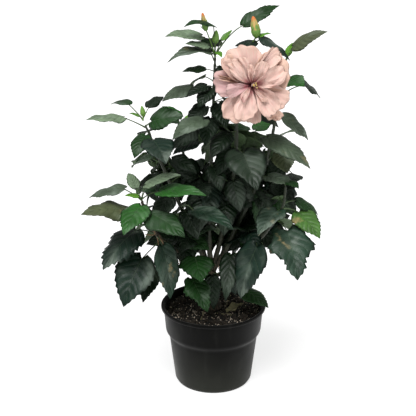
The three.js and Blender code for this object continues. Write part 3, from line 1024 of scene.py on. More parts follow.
class SHRUB_OT_soil(bpy.types.Operator):
    """Fill the pot with soil, and scatter bark chips, grit and a few dry bits on it"""

    bl_idname = "shrub.soil"
    bl_label = "Soil"

    def execute(self, context):
        soil = context.scene.shrub_soil
        rng = np.random.default_rng(SEEDS["soil"])
        coarse = ripples(rng, soil.bumps * 0.7, 26 * MM)
        fine = ripples(rng, soil.bumps * 0.45, 7 * MM)

        def bumps(points):
            return coarse(points) + fine(points)

        self.mound(context, bumps)
        self.litter(soil, bumps, rng)
        return {"FINISHED"}

    def mound(self, context, bumps):
        """The body of soil: a bumpy top, and a side that follows the inside of the pot."""
        soil, pot = context.scene.shrub_soil, context.scene.shrub_pot
        low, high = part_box("soil")
        rim = outline_radius(high.z) - pot.wall - 0.3 * MM
        rings = [np.array([r, high.z]) for r in np.linspace(0, rim, 46)]
        steps = [h for _, h in pot_outline()[::-1] if low.z < h < high.z - 6 * MM]
        side = [
            np.array([outline_radius(h) - pot.wall - 0.3 * MM, h - pot.wall * (h > 2 * low.z)])
            for h in (*steps, low.z)
        ]
        body = turned([*rings, *side, np.array([0, low.z])], 132)
        levels = soil_level(np.array([v.co[:] for v in body.verts]), bumps)
        for v, level in zip(body.verts, levels):
            if v.co.z > high.z - MM:
                v.co.z = level
        mesh = mesh_of(body, "potting_soil", soil_finish("soil_dark", soil.soil, 300))
        piece("potting_soil", mesh, "potting_soil", "soil")

    def litter(self, soil, bumps, rng):
        """Bark chips and specks of grit, strewn evenly and half sunk."""
        rim = outline_radius(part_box("soil")[1].z) - 6 * MM
        block, joined = chip_pattern(), Joined()
        for i in range(soil.chips + soil.specks):
            speck = i >= soil.chips
            radius = rim * math.sqrt(rng.uniform(0.04, 1))
            spot = heading(rng.uniform(0, 360)) * radius
            size = rng.uniform(0.7, 1.5) if speck else rng.uniform(1.6, 4.6)
            shape = rng.uniform((0.8, 0.5, 0.4), (1.5, 1.0, 0.9)) * size * MM
            turn = rng.normal(size=(3, 3)) * (0.9 if speck else 0.35) + np.diag([1, 1, 1.6])
            turn, _ = np.linalg.qr(turn)
            flat = heading(rng.uniform(0, 360))
            lay = np.stack([flat, np.cross(UP, flat), UP]) @ turn
            points = block.points * shape * (1 + 0.25 * rng.normal(size=block.points.shape))
            spot[2] = soil_level(spot[None], bumps)[0] + 0.35 * size * MM
            finish = GRIT if speck else rng.choice([DARK_CHIP, BROWN_CHIP])
            joined.add(block, points @ lay + spot, finish)
        self.dry_bits(joined, bumps, rng)
        finishes = [
            soil_finish("chip_dark", [c * 0.6 for c in soil.chip], 500),
            soil_finish("chip_brown", soil.chip, 500),
            soil_finish("grit_pale", soil.grit, 900),
            plain_finish("dry_stem", soil.dry, 0.4, 200, 0.9),
        ]
        faces = joined.piece("bark_chips", finishes, "potting_soil").data.polygons
        faces.foreach_set("use_smooth", np.zeros(len(faces), bool))

    def dry_bits(self, joined, bumps, rng):
        """Dry stems by the trunk's foot, and one withered leaf right of it."""
        stick = rod_pattern(6, 10)
        for turn, reach, length in ((200, 16, 44), (330, 20, 38), (285, 24, 30), (20, 26, 52)):
            start = heading(turn) * reach * MM
            end = start + heading(turn + 60) * length * MM
            path = bent_path(start, end, UP * 2 * MM, 10)
            path[:, 2] = soil_level(path, bumps) + 1.5 * MM
            joined.rod(stick, path, tapered(1.3 * MM, 0.8 * MM), DRY)
        foot = heading(318) * 34 * MM
        foot[2] = soil_level(foot[None], bumps)[0] + 3 * MM
        lying = Blade(foot, foot, heading(35, 12), UP, 40 * MM, 20 * MM)
        withered = PLAIN_HABIT._replace(fold=0.7, wave=0.16)
        joined.leaf(blade_pattern(14, 6, 4), lying, withered, 0.6 * MM, rng, DRY)


class SHRUB_OT_limbs(bpy.types.Operator):
    """Grow the trunk and the boughs, with leaf joints and ridged bark"""

    bl_idname = "shrub.limbs"
    bl_label = "Trunk and boughs"

    def execute(self, context):
        limbs = context.scene.shrub_limbs
        rng = np.random.default_rng(SEEDS["limbs"])
        trunk_line, trunk_radii = slice_line("trunk", 6 * MM)
        old = bark_finish(limbs, "bark_old", 0.6)
        self.grow("trunk", trunk_line, trunk_radii, old, 30, limbs, rng)
        green = bark_finish(limbs, "bark_green", 0.24)
        brown = bark_finish(limbs, "bark_brown", 0.4)
        for name in BOUGHS:
            line, radii = slice_line(name, BOUGH_STEP)
            sound = radii > 0.55 * np.median(radii)
            sound[:3] = False
            line, radii = line[sound], radii[sound]
            below = trunk_line[np.argmin(np.abs(trunk_line[:, 2] - line[0][2] + 22 * MM))]
            line = np.concatenate([[below], line])
            radii = np.concatenate([[radii[0]], radii])
            finish = brown if name == "bough_left" else green
            self.grow(name, line, radii, finish, 16, limbs, rng)
        self.dry_twigs(limbs, rng)
        return {"FINISHED"}

    def dry_twigs(self, limbs, rng):
        """Withered, curled stalks that still hang on the left bough and by the trunk."""
        stick, joined = rod_pattern(6, 12), Joined()
        places = [("bough_left", p) for p in np.linspace(0.28, 0.62, 9)]
        places += [("bough_low_right", p) for p in (0.2, 0.32)] + [("trunk", 0.5), ("trunk", 0.8)]
        for bough, place in places:
            root = point_on(bough, place)
            reach = heading(rng.uniform(215, 325), rng.uniform(-75, 10)) * rng.uniform(18, 38) * MM
            path = bent_path(root, root + reach, rng.normal(size=3) * 7 * MM, 12)
            joined.rod(stick, path, tapered(1.5 * MM, 0.6 * MM))
        joined.piece("dry_twigs", [plain_finish("dry_twig", limbs.dry, 0.5, 150, 0.9)], "bark")

    def grow(self, name, line, radii, finish, sides, limbs, rng):
        """One limb: evenly spaced rings on a smoothed line, with lumps, joints and ridges."""
        steps = np.concatenate([[0], np.cumsum(np.linalg.norm(np.diff(line, axis=0), axis=1))])
        length = steps[-1]
        evenly = np.linspace(0, length, max(8, round(length / (2.5 * MM))) + 1)
        path = np.stack([np.interp(evenly, steps, line[:, k]) for k in range(3)], axis=1)
        for _ in range(4):
            path[1:-1] = (path[:-2] + 2 * path[1:-1] + path[2:]) / 4
        radius = np.interp(evenly, steps, radii)
        ends = np.clip((length - evenly) / (4 * MM), 0.25, 1) if name != "trunk" else 1
        pattern = rod_pattern(sides, len(path) - 1)
        lumps = ripples(rng, limbs.ridge, 14 * MM)
        woody = name in ("trunk", "bough_left")

        def relief(points, run, turn):
            joint = (run * length / limbs.joint_gap) % 1.0
            knuckle = limbs.joint_swell * np.exp(-(((joint - 0.5) * 9) ** 2))
            side = 0.6 + 0.4 * np.cos(turn - np.floor(run * length / limbs.joint_gap) * 2.4)
            ridges = 0.5 * limbs.ridge * np.sin(7 * turn + 40 * points[:, 2]) * woody
            return lumps(points) * (1 if woody else 0.5) + knuckle * side + ridges

        def taper(run):
            return np.interp(run, evenly / length, radius * ends)

        joined = Joined()
        joined.rod(pattern, path, taper, 0, relief)
        joined.piece(name + "_bark", [finish], "bark" if woody else "green_bark", name)


class SHRUB_OT_great_leaves(bpy.types.Operator):
    """Lay one great leaf, with its long stalk, in each thin mass of the crown"""

    bl_idname = "shrub.great_leaves"
    bl_label = "Great leaves"

    def execute(self, context):
        foliage = Foliage(context, blade_pattern(30, 10, 10), SEEDS["great_leaves"])
        rng = foliage.rng
        for name in LEAF_MASSES:
            blade = blade_of(name, rng)
            habit = grown_habit(rng, droop=rng.uniform(0, 0.05), arch=rng.uniform(0.05, 0.09))
            habit = habit._replace(**HABITS.get(name, {}))
            foliage.add(blade, habit, [TONE_OF[name]], 1)
        foliage.pieces("great_leaves", "great_leaf_stalks", *LEAF_MASSES)
        return {"FINISHED"}


SPRAY_TONES = {
    "mass_inner": ("deep", "deep", "blue", "mid"),
    "mass_back": ("deep", "mid", "deep", "blue", "mid"),
}


class SHRUB_OT_sprays(bpy.types.Operator):
    """Grow leafy twigs from the boughs into each full mass inside and behind the crown"""

    bl_idname = "shrub.sprays"
    bl_label = "Inner and back sprays"

    def execute(self, context):
        spray = context.scene.shrub_spray
        foliage = Foliage(context, blade_pattern(12, 4, 6), spray.seed)
        rng, twig_pattern = foliage.rng, rod_pattern(6, 10)

        def twig(start, end, foot, tip):
            path = bent_path(start, end, UP * -0.08 * np.linalg.norm(end - start), 10)
            foliage.stalks.rod(twig_pattern, path, tapered(foot, tip))

        for name in FULL_MASSES:
            low, high = (np.array(corner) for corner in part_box(name))
            centre, halves = (low + high) / 2, (high - low) / 2
            tones = next(tones for start, tones in SPRAY_TONES.items() if name.startswith(start))
            root = np.array(LIMBS.find_nearest(Vector(centre - UP * halves[2]))[0])
            first = rng.uniform(0, 360)
            hub = root + (centre - root) * 0.45 - UP * 0.1 * halves[2]
            twig(root, hub, 1.7 * MM, 1.4 * MM)
            for i in range(spray.twigs):
                turn = first + i * 360 / spray.twigs
                end = centre + heading(turn, rng.uniform(-10, 50)) * halves * rng.uniform(0.45, 0.7)
                twig(hub, end, 1.4 * MM, 0.8 * MM)
                self.leafy(hub, end, centre, halves, tones, spray, foliage)
        foliage.pieces("spray_leaves", "spray_twigs", *FULL_MASSES)
        return {"FINISHED"}

    def leafy(self, start, end, centre, halves, tones, spray, foliage):
        """Sets leaves round a twig at the golden turn, each reaching the mass's skin."""
        rng = foliage.rng
        first = rng.uniform(0, 360)
        outward = unit(centre * (1, 1, 0))
        lean = outward * 0.9 if centre @ FRONT < -60 * MM else FRONT * 0.9
        for i in range(spray.leaves):
            place = (i + 1) / spray.leaves
            node = start + (end - start) * (0.3 + 0.7 * place)
            out = heading(first + i * GOLDEN_TURN, rng.uniform(-15, 40) + 30 * (place == 1))
            offset = (node - centre) / halves
            ray = out / halves
            a, b, c = ray @ ray, offset @ ray, offset @ offset - 1
            reach = (-b + math.sqrt(max(b * b - a * c, 0))) / a
            length = np.clip(reach * rng.uniform(0.75, 1.0), spray.shortest, spray.longest)
            gap = np.clip(reach - length, 6 * MM, 40 * MM)
            foot = node + out * gap + UP * 4 * MM
            axis = unit(out - UP * rng.uniform(0.1, 1.5))
            face = square_to(axis, UP + lean + heading(rng.uniform(0, 360)) * 0.3)
            length = kept_inside(foot, axis, length)
            blade = Blade(node, foot, axis, face, length, length * rng.uniform(0.6, 0.8))
            foliage.add(blade, grown_habit(rng), tones if i % 2 else tones[:1], 0.8)


# Young leaves at the tips and along the boughs: bough, share of its height, then the turn,
# climb and length of the stalk, the turn, climb, length and width of the blade, and its tone.
YOUNG_LEAVES = [
    ("bough_centre", 1.0, (200, 60, 20), (205, 10, 44, 26), "sage"),
    ("bough_centre", 1.0, (150, 70, 24), (170, 15, 30, 15), "mid"),
    ("bough_centre", 1.0, (40, 60, 28), (30, 40, 26, 12), "fresh"),
    ("bough_centre", 1.0, (300, 50, 10), (290, -10, 22, 12), "fresh"),
    ("bough_centre", 0.95, (330, 10, 14), (300, -40, 46, 32), "deep"),
    ("bough_centre", 0.86, (255, 10, 14), (235, -35, 46, 32), "deep"),
    ("bough_centre", 0.8, (300, 10, 16), (290, -45, 48, 36), "deep"),
    ("bough_centre", 0.76, (200, 20, 14), (215, -30, 44, 34), "deep"),
    ("bough_centre", 0.72, (250, 20, 12), (250, -50, 50, 38), "deep"),
    ("bough_centre", 0.66, (185, 15, 30), (205, -35, 52, 38), "deep"),
    ("bough_centre", 0.6, (170, 10, 24), (190, -25, 50, 34), "blue"),
    ("bough_centre", 0.52, (280, 0, 14), (300, -45, 48, 36), "deep"),
    ("bough_centre", 0.36, (240, 0, 20), (250, -50, 56, 42), "deep"),
    ("bough_bloom", 0.55, (240, 10, 16), (225, -45, 54, 38), "deep"),
    ("bough_bloom", 0.42, (270, 0, 18), (285, -50, 58, 42), "deep"),
    ("bough_bloom", 0.3, (250, 0, 18), (265, -50, 58, 42), "deep"),
    ("bough_upper_left", 0.75, (330, 10, 24), (335, -20, 52, 36), "deep"),
    ("bough_upper_left", 0.5, (250, 0, 20), (225, -40, 56, 40), "deep"),
    ("bough_upper_left", 0.42, (290, 0, 24), (300, -40, 56, 40), "deep"),
    ("bough_left", 1.0, (150, 60, 20), (120, 30, 40, 22), "sage"),
    ("bough_centre", 1.0, (80, 60, 16), (100, 10, 50, 28), "deep"),
    ("bough_centre", 0.93, (190, 20, 16), (185, -5, 40, 22), "mid"),
    ("bough_centre", 0.86, (230, 20, 18), (215, -15, 44, 26), "deep"),
    ("bough_centre", 0.78, (330, 20, 20), (320, -20, 46, 28), "deep"),
    ("bough_centre", 0.7, (60, 20, 26), (70, -20, 60, 36), "mid"),
    ("bough_bloom", 1.0, (350, 60, 12), (335, 20, 28, 14), "fresh"),
    ("bough_bloom", 1.0, (350, 15, 8), (186, -8, 38, 26), "blue"),
    ("bough_bloom", 0.9, (80, 30, 22), (85, -10, 62, 36), "deep"),
    ("bough_bloom", 0.8, (120, 20, 26), (110, -30, 66, 40), "mid"),
    ("bough_bloom", 0.72, (20, 10, 24), (350, -30, 60, 36), "deep"),
    ("bough_bloom", 0.62, (230, 10, 24), (240, -30, 60, 38), "deep"),
    ("bough_right", 1.0, (20, 70, 14), (60, 45, 30, 13), "fresh"),
    ("bough_right", 1.0, (170, 60, 10), (150, 40, 26, 12), "mid"),
    ("bough_right", 0.9, (100, 30, 26), (95, -10, 62, 36), "mid"),
    ("bough_right", 0.8, (210, 20, 20), (230, -20, 46, 26), "deep"),
    ("bough_right", 0.62, (90, 20, 26), (80, -20, 62, 38), "deep"),
    ("bough_upper_left", 1.0, (60, 45, 24), (62, 12, 52, 24), "deep"),
    ("bough_upper_left", 1.0, (200, 50, 8), (200, 20, 20, 10), "fresh"),
    ("bough_upper_left", 0.88, (100, 20, 24), (110, -20, 58, 34), "deep"),
    ("bough_upper_left", 0.7, (130, 10, 26), (140, -25, 62, 38), "mid"),
    ("bough_left", 1.0, (200, 60, 8), (200, 10, 26, 14), "fresh"),
    ("bough_left", 1.0, (60, 50, 14), (70, 0, 44, 26), "mid"),
    ("bough_left", 0.8, (90, 20, 22), (100, -20, 58, 36), "deep"),
    ("bough_low_right", 1.0, (300, 40, 10), (300, 0, 34, 20), "mid"),
    ("bough_low_right", 1.0, (60, 40, 14), (50, -10, 46, 28), "deep"),
    ("bough_low_right", 0.8, (20, 10, 22), (10, -30, 52, 32), "mid"),
    ("bough_back_left", 1.0, (120, 60, 16), (130, 20, 52, 30), "bright"),
    ("bough_back_left", 1.0, (250, 60, 16), (240, 10, 44, 26), "mid"),
    ("bough_back_left", 1.0, (30, 60, 14), (20, 20, 34, 18), "fresh"),
    ("bough_back_right", 1.0, (60, 60, 16), (50, 15, 52, 30), "bright"),
    ("bough_back_right", 1.0, (160, 60, 16), (170, 15, 46, 26), "mid"),
]
# Dark leaves that hang in front of the trunk's foot, told in the same way.
FOOT_LEAVES = [
    ("trunk", 0.9, (272, 22, 36), (276, -72, 62, 32), "deep"),
    ("trunk", 0.9, (318, 20, 40), (330, -62, 44, 24), "blue"),
]

# Buds: bough, offset of the bud's foot from the bough's tip, the bud's tip from its foot,
# its greatest radius, and how far its petals show past the calyx.
BUDS = [
    ("bough_centre", (-15, 5, 41), (-6, 0, 29), 5.2, 0.62),
    ("bough_centre", (0, 5, 20), (2, -2, 22), 5.6, 0),
    ("bough_bloom", (7, -6, 12), (-7, 0, 34), 8.0, 0.66),
    ("bough_upper_left", (1, 3, 5), (-3, 0, 18), 4.2, 0),
]


def point_on(name, place):
    """A point on a bough's middle, at a share of its height."""
    line, _ = slice_line(name, BOUGH_STEP)
    return line[round(place * (len(line) - 1))]


class SHRUB_OT_young_leaves(bpy.types.Operator):
    """Set the small leaves at the boughs' tips and along them"""

    bl_idname = "shrub.young_leaves"
    bl_label = "Young leaves"

    def execute(self, context):
        foliage = Foliage(context, blade_pattern(16, 6, 8), SEEDS["young_leaves"])
        self.listed_leaves(YOUNG_LEAVES, foliage)
        self.joint_leaves(foliage)
        self.listed_leaves(FOOT_LEAVES, foliage)
        foliage.pieces("young_leaves", "young_leaf_stalks")
        return {"FINISHED"}

    def listed_leaves(self, rows, foliage):
        for bough, place, (*stalk, reach), (turn, climb, length, width), tone in rows:
            root = point_on(bough, place)
            foot = root + heading(*stalk) * reach * MM
            axis = heading(turn, climb)
            face = square_to(axis, UP + 0.4 * FRONT)
            blade = Blade(root, foot, axis, face, length * MM, width * MM)
            foliage.add(blade, grown_habit(foliage.rng), [tone], 0.75)

    def joint_leaves(self, foliage):
        """Leaves along the boughs, where they look to the back."""
        rng = foliage.rng
        for name in BOUGHS:
            turn = rng.uniform(0, 360)
            for place in np.arange(0.2, 0.95, 0.075):
                root = point_on(name, place)
                turn += GOLDEN_TURN
                out = heading(turn)
                if out @ FRONT > -0.25:
                    continue
                foot = root + heading(turn, 25) * rng.uniform(16, 30) * MM
                axis = heading(turn + rng.uniform(-25, 25), rng.uniform(-50, -10))
                length = rng.uniform(50, 78) * MM * (1 - 0.25 * place)
                length = kept_inside(foot, axis, length)
                face = square_to(axis, UP + 0.7 * out)
                blade = Blade(root, foot, axis, face, length, length * rng.uniform(0.55, 0.7))
                foliage.add(blade, grown_habit(rng), ("deep", "deep", "mid", "blue"), 0.85)


class SHRUB_OT_buds(bpy.types.Operator):
    """Set the closed buds on their stalks at the boughs' tips"""

    bl_idname = "shrub.buds"
    bl_label = "Buds"

    def execute(self, context):
        bloom = context.scene.shrub_bloom
        rng = np.random.default_rng(SEEDS["buds"])
        roll, bract, joined = rod_pattern(15, 18), blade_pattern(8, 4), Joined()
        for bough, offset, reach, radius, showing in BUDS:
            tip = point_on(bough, 1.0)
            foot, radius = tip + np.array(offset) * MM, radius * MM
            axis, length = unit(np.array(reach, float)), np.linalg.norm(reach) * MM
            add_stalk(joined, tip, foot, axis, 1.3 * MM, rng, 1)
            self.rolled(joined, roll, foot, axis * length, radius, showing)
            self.sepals(joined, bract, foot, axis, length, radius, rng)
            self.bracts(joined, bract, foot, axis, length, rng)
        calyx = plain_finish("bud_calyx", bloom.calyx, 0.3, 160, 0.55)
        joined.piece("buds", [bud_finish(bloom), calyx], "petal")
        return {"FINISHED"}

    def rolled(self, joined, roll, foot, reach, radius, showing):
        """The rolled petals, if they show past the calyx, and the cup of the calyx."""

        def plump(run):
            return radius * (0.1 + 0.9 * np.sin(np.pi * run**0.82) ** 0.62) * (1.02 - 0.28 * run)

        def cup(run):
            return plump(run * (1 - showing)) * 1.14 + 0.25 * MM

        def twist(points, run, turn):
            return 0.5 * MM * np.sin(5 * turn + 7 * run) * run

        def flare(points, run, turn):
            return -0.9 * MM * run**3 * np.sin(2.5 * turn) ** 2

        if showing:
            joined.rod(roll, straight_path(foot, foot + reach, 18), plump, 0, twist)
        path = straight_path(foot - unit(reach) * MM, foot + reach * (1 - showing), 18)
        joined.rod(roll, path, cup, 1, flare)

    def sepals(self, joined, bract, foot, axis, length, radius, rng):
        """Five pointed lobes of the calyx that lie against the petals."""
        across = square_to(axis, FRONT)
        habit = PLAIN_HABIT._replace(teeth=0, heart=0, fold=-0.3, arch=0.09, droop=0.02, wave=0)
        for turn in np.arange(0.3, 2 * np.pi, 2 * np.pi / 5):
            out = round_about(across, np.cross(axis, across), turn)
            start = foot + out * radius * 0.55 + axis * length * 0.08
            lean = unit(axis * length * 0.55 + out * radius * 0.3)
            blade = Blade(start, start, lean, square_to(lean, out), length * 0.56, radius * 1.5)
            joined.leaf(bract, blade, habit, 0.5 * MM, rng, 1)

    def bracts(self, joined, bract, foot, axis, length, rng):
        """Seven narrow bracts that spread below the calyx."""
        across = square_to(axis, FRONT)
        habit = PLAIN_HABIT._replace(teeth=0, heart=0, droop=-0.1)
        for turn in np.arange(0, 2 * np.pi, 2 * np.pi / 7):
            out = round_about(across, np.cross(axis, across), turn)
            lean = unit(axis * 0.7 + out * rng.uniform(0.4, 0.9))
            start = foot + out * 1.2 * MM
            blade = Blade(start, start, lean, square_to(lean, axis), length * 0.45, 2.4 * MM)
            joined.leaf(bract, blade, habit, 0.5 * MM, rng, 1)


# Petals: turn round the face (anticlockwise from the viewer's right), reach, spread across,
# how far the tip stands in front of the calyx plane, pleats, tone.
PETALS = [
    (140, 63, 46, -9, 1.6, "peach"),
    (108, 66, 72, -5, 1.6, "blush"),
    (32, 67, 78, -5, 1.8, "peach"),
    (-22, 64, 54, -7, 2.2, "blush"),
    (-60, 71, 27, -8, 1.4, "peach"),
    (-92, 61, 38, -7, 1.4, "tan"),
    (-124, 66, 62, -5, 1.5, "tan"),
    (-173, 61, 50, -8, 1.2, "mauve"),
    (166, 62, 9, -6, 1.2, "peach"),
    (150, 58, 34, -1, 1.4, "tan"),
    (65, 70, 26, 4, 2.0, "tan"),
    (121, 50, 38, 5, 1.4, "blush"),
    (14, 58, 46, 5, 2.0, "blush"),
    (-38, 60, 42, 6, 2.0, "blush"),
    (-104, 58, 46, 7, 1.5, "blush"),
    (144, 46, 24, 12, 1.0, "blush"),
    (92, 32, 15, 15, 1.0, "blush"),
    (-46, 36, 11, 13, 1.0, "blush"),
    (-122, 30, 14, 13, 1.4, "rose"),
    (50, 42, 22, 9, 1.6, "blush"),
    (-164, 42, 26, 9, 1.2, "mauve"),
]

# The body and rim of each tone of petal, and how much tan painted shade lies on it.
PETAL_TONES = {
    "blush": ("blush", "peach", 0.1),
    "peach": ("peach", "blush", 0.1),
    "mauve": ("mauve", "blush", 0.15),
    "tan": ("blush", "peach", 0.6),
    "rose": ("blush", "rose", 0.0),
}

# A ring of lobes or bracts behind the bloom: how many, the first one's turn, how far they lean
# out, where they start, and their size.
CalyxRing = namedtuple("CalyxRing", "count first spread aside ahead length width")
CALYX_LOBES = CalyxRing(5, 20, 0.8, 6, 6, 24, 13)
CALYX_BRACTS = CalyxRing(7, 5 * 360 / 7, 1.3, 3, 1, 16, 3)


class SHRUB_OT_bloom(bpy.types.Operator):
    """Open the double bloom: pleated petals, stamens, calyx and stalk"""

    bl_idname = "shrub.bloom"
    bl_label = "Bloom"

    def execute(self, context):
        bloom, leaf = context.scene.shrub_bloom, context.scene.shrub_leaf
        rng = np.random.default_rng(SEEDS["bloom"])
        self.measure(rng)
        pattern = blade_pattern(26, 26)
        petals = Joined()
        for layer, (*shape, tone) in enumerate(PETALS):
            points = self.petal(pattern, shape, layer, bloom.thickness, rng)
            petals.add(pattern, points, list(PETAL_TONES).index(tone))
        finishes = [
            petal_finish(bloom, name, getattr(bloom, body), rgba(getattr(bloom, rim)), tan_shade)
            for name, (body, rim, tan_shade) in PETAL_TONES.items()
        ]
        petals.piece("bloom_petals", finishes, "petal", "bloom")
        self.stamens(bloom, rng)
        self.calyx(bloom, leaf, rng)
        return {"FINISHED"}

    def measure(self, rng):
        """The bloom's middle, the way it faces, and its depth, from its solid."""
        spread, cell = skin_points("bloom", rng, 1600)
        crowd = crowd_of(spread, cell, 10 * MM)
        self.root = root_of(spread, crowd)
        body = spread[crowd > np.median(crowd) * 0.6]
        middle = body.mean(axis=0)
        _, axes = np.linalg.eigh((body - middle).T @ (body - middle))
        self.face = axes[:, 0] if axes[:, 0] @ FRONT > 0 else -axes[:, 0]
        self.right = unit(np.cross(UP, self.face))
        self.top = np.cross(self.face, self.right)
        depth = (body - middle) @ self.face
        flat = body[np.abs(depth - depth.max() * 0.2) < 14 * MM]
        middle = flat.mean(axis=0)
        self.middle = middle + self.face * ((body - middle) @ self.face).max()
        self.back = (self.middle - body) @ self.face
        reach = np.linalg.norm(np.cross(flat - middle, self.face), axis=1)
        self.scale = np.percentile(reach, 97) / (62 * MM)

    def at(self, x, y, z):
        return self.middle + np.outer(x, self.right) + np.outer(y, self.top) + np.outer(z, self.face)

    def petal(self, pattern, shape, layer, thickness, rng):
        """Lays one petal: lobed, swept, deeply pleated, finely ribbed, frilled and crumpled."""
        turn, reach, spread, front, pleats = shape
        run, aside, level = pattern.points.T
        reach, half = reach * MM * self.scale, spread / reach / 2
        edge = np.abs(aside)
        lobes = 1 + 0.12 * np.sin(4.5 * aside + rng.uniform(0, 6)) * edge
        lobes += 0.02 * np.sin(15 * aside + rng.uniform(0, 6))
        radius = reach * run**1.05 * (1 - 0.42 * edge**2.6) * lobes
        angle = math.radians(turn) + aside * half * (0.9 + 0.25 * run) * (1 + 0.3 * np.sin(2.5 * run))
        throat = -30 * MM
        depth = throat + (front * MM - 14 * MM - throat) * np.sin(np.pi / 2 * run**0.8)
        depth += 5 * MM * run**3 * rng.uniform(-1, 0.6)
        pleat = 1 - 2 * np.abs(np.sin(np.pi / 2 * pleats * aside + rng.uniform(0, 6))) ** 0.7
        depth += 3.6 * MM * run * (1.3 - 0.5 * run) * pleat
        fine = np.abs(np.sin(np.pi * 2.3 * pleats * aside + 2 * run + rng.uniform(0, 6)))
        depth += 1.5 * MM * np.sin(np.pi * run**0.8) * fine**0.7
        frill = np.sin(8 * aside + rng.uniform(0, 6)) + 0.6 * np.sin(17 * aside + rng.uniform(0, 6))
        depth += 2.4 * MM * run**5 * frill
        depth += rng.uniform(-5, 9) * MM * edge**2 * run + 0.25 * MM * layer
        crumple = ripples(rng, 3.4 * MM, 0.7)
        depth += crumple(np.stack([run, aside, 0 * run], axis=1)) * run
        angle = angle + 0.02 * frill * run**4 + rng.uniform(-0.22, 0.22) * run**2
        depth += level * thickness / 2
        return self.at(radius * np.cos(angle), radius * np.sin(angle), depth)

    def stamens(self, bloom, rng):
        """Thin pale threads with yellow heads round the eye."""
        thread, head, joined = rod_pattern(5, 6), rod_pattern(7, 5), Joined()
        for _ in range(8):
            out = heading(rng.uniform(-30, 30))[:2] * rng.uniform(3, 12) * MM
            start = self.at(0, 0, -16 * MM)[0]
            end = self.at(out[0], out[1], rng.uniform(-1, 6) * MM)[0]
            path = bent_path(start, end, rng.normal(size=3) * MM, 6)
            joined.rod(thread, path, tapered(0.45 * MM, 0.3 * MM))
            path = straight_path(end, end + unit(end - start) * 2.6 * MM, 5)
            joined.rod(head, path, lambda run: 1.1 * MM * (0.2 + np.sin(np.pi * run)), 1)
        finishes = [
            plain_finish("stamen_thread", bloom.blush, 0.1, 300, 0.5),
            plain_finish("stamen_head", bloom.anther, 0.25, 600, 0.9),
        ]
        joined.piece("stamens", finishes, "petal")

    def calyx(self, bloom, leaf, rng):
        """The green cup behind the petals, its lobes and narrow bracts, and the stalk."""
        base = self.middle - self.face * self.back.max()
        cup, bract, joined = rod_pattern(20, 12), blade_pattern(10, 4), Joined()
        path = straight_path(base, base + self.face * 16 * MM, 12)
        joined.rod(cup, path, lambda run: MM * (2.5 + 9 * run**0.6))
        habit = PLAIN_HABIT._replace(teeth=0, heart=0)
        for part in (CALYX_LOBES, CALYX_BRACTS):
            for i in range(part.count):
                turn = math.radians(part.first + i * 360 / part.count)
                out = round_about(self.right, self.top, turn)
                lean = unit(self.face + out * part.spread)
                start = base + (out * part.aside + self.face * part.ahead) * MM
                size = part.length * MM, part.width * MM
                blade = Blade(start, start, lean, square_to(lean, -self.face), *size)
                joined.leaf(bract, blade, habit, 0.8 * MM, rng)
        add_stalk(joined, self.root, base, self.face, leaf.stalk * 1.7, rng)
        calyx = plain_finish("calyx_green", bloom.calyx, 0.3, 160, 0.55)
        joined.piece("bloom_calyx", [calyx], "foliage")


# The floor's half side, where the lights stand and how wide they are, what they aim at, and
# the camera's sensor width in millimetres.
FLOOR_REACH = 40
KEY_PLACE, KEY_SPREAD = (-0.3, -0.75, 2.0), math.radians(40)
FILL_PLACE, FILL_SIZE = (1.3, -1.3, 1.3), 1.2
AIM = Vector((0, 0, 0.35))
SENSOR = 36


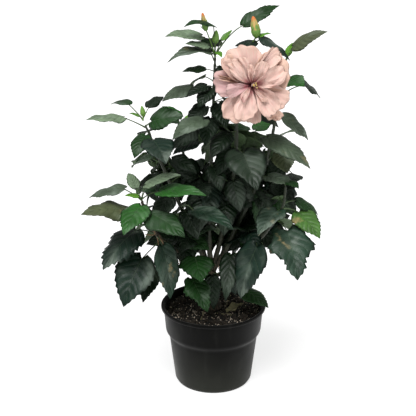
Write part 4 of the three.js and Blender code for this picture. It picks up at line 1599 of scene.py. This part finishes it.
class SHRUB_OT_stage(bpy.types.Operator):
    """Set the pale floor, the soft lights and the camera"""

    bl_idname = "shrub.stage"
    bl_label = "Stage"

    def execute(self, context):
        stage, scene = context.scene.shrub_stage, context.scene
        bm = bmesh.new()
        bmesh.ops.create_grid(bm, x_segments=1, y_segments=1, size=FLOOR_REACH)
        finish = Finish("floor_pale", 0.7)
        cloud = finish.noise(2, 2)
        finish.shade(finish.mix(cloud, darker(stage.floor, 0.985), rgba(stage.floor)))
        finish.steady(Emission_Color=(1, 1, 1, 1), Emission_Strength=stage.glow)
        floor = bpy.data.objects.new("floor", mesh_of(bm, "floor", finish.material))
        scene.collection.objects.link(floor)
        world = bpy.data.worlds.new("soft_room")
        world.use_nodes = True
        background = world.node_tree.nodes["Background"]
        background.inputs["Color"].default_value = (1, 1, 1, 1)
        background.inputs["Strength"].default_value = stage.sky
        scene.world = world
        key = self.light("key", "SUN", KEY_PLACE, stage.key)
        key.angle = KEY_SPREAD
        fill = self.light("fill", "AREA", FILL_PLACE, stage.fill)
        fill.size = FILL_SIZE
        data = bpy.data.cameras.new("camera")
        data.lens = stage.lens
        data.sensor_width = SENSOR
        camera = bpy.data.objects.new("camera", data)
        camera.location = (-stage.aside, -stage.distance, stage.height)
        camera.rotation_euler = (math.pi / 2 - stage.pitch, 0, 0)
        scene.collection.objects.link(camera)
        scene.camera = camera
        scene.view_settings.view_transform = "Standard"
        return {"FINISHED"}

    def light(self, name, kind, place, power):
        data = bpy.data.lights.new(name, kind)
        data.energy = power
        light = bpy.data.objects.new(name, data)
        light.location = place
        aim = AIM - Vector(place)
        light.rotation_euler = aim.to_track_quat("-Z", "Y").to_euler()
        bpy.context.scene.collection.objects.link(light)
        return data


# ---------------------------------------------------------------- panel and registration
SETTINGS = {
    "shrub_pot": PotSettings,
    "shrub_soil": SoilSettings,
    "shrub_limbs": LimbSettings,
    "shrub_leaf": LeafSettings,
    "shrub_spray": SpraySettings,
    "shrub_bloom": BloomSettings,
    "shrub_stage": StageSettings,
}
OPERATORS = (
    SHRUB_OT_pot,
    SHRUB_OT_soil,
    SHRUB_OT_limbs,
    SHRUB_OT_great_leaves,
    SHRUB_OT_sprays,
    SHRUB_OT_young_leaves,
    SHRUB_OT_buds,
    SHRUB_OT_bloom,
    SHRUB_OT_stage,
)


class SHRUB_PT_panel(bpy.types.Panel):
    """The shrub's pieces and their settings"""

    bl_idname = "SHRUB_PT_panel"
    bl_label = "Potted shrub"
    bl_space_type = "VIEW_3D"
    bl_region_type = "UI"
    bl_category = "Shrub"

    def draw(self, context):
        for operator in OPERATORS:
            self.layout.operator(operator.bl_idname)
        for name in SETTINGS:
            settings = getattr(context.scene, name)
            box = self.layout.box()
            for key in settings.__annotations__:
                box.prop(settings, key)


def register():
    for name, settings in SETTINGS.items():
        bpy.utils.register_class(settings)
        setattr(bpy.types.Scene, name, PointerProperty(type=settings))
    for item in (*OPERATORS, SHRUB_PT_panel):
        bpy.utils.register_class(item)


def unregister():
    for item in (SHRUB_PT_panel, *reversed(OPERATORS)):
        bpy.utils.unregister_class(item)
    for name, settings in SETTINGS.items():
        delattr(bpy.types.Scene, name)
        bpy.utils.unregister_class(settings)


def main():
    register()
    bpy.ops.shrub.pot()
    bpy.ops.shrub.soil()
    bpy.ops.shrub.limbs()
    bpy.ops.shrub.great_leaves()
    bpy.ops.shrub.sprays()
    bpy.ops.shrub.young_leaves()
    bpy.ops.shrub.buds()
    bpy.ops.shrub.bloom()
    bpy.ops.shrub.stage()


if __name__ == "__main__":
    main()
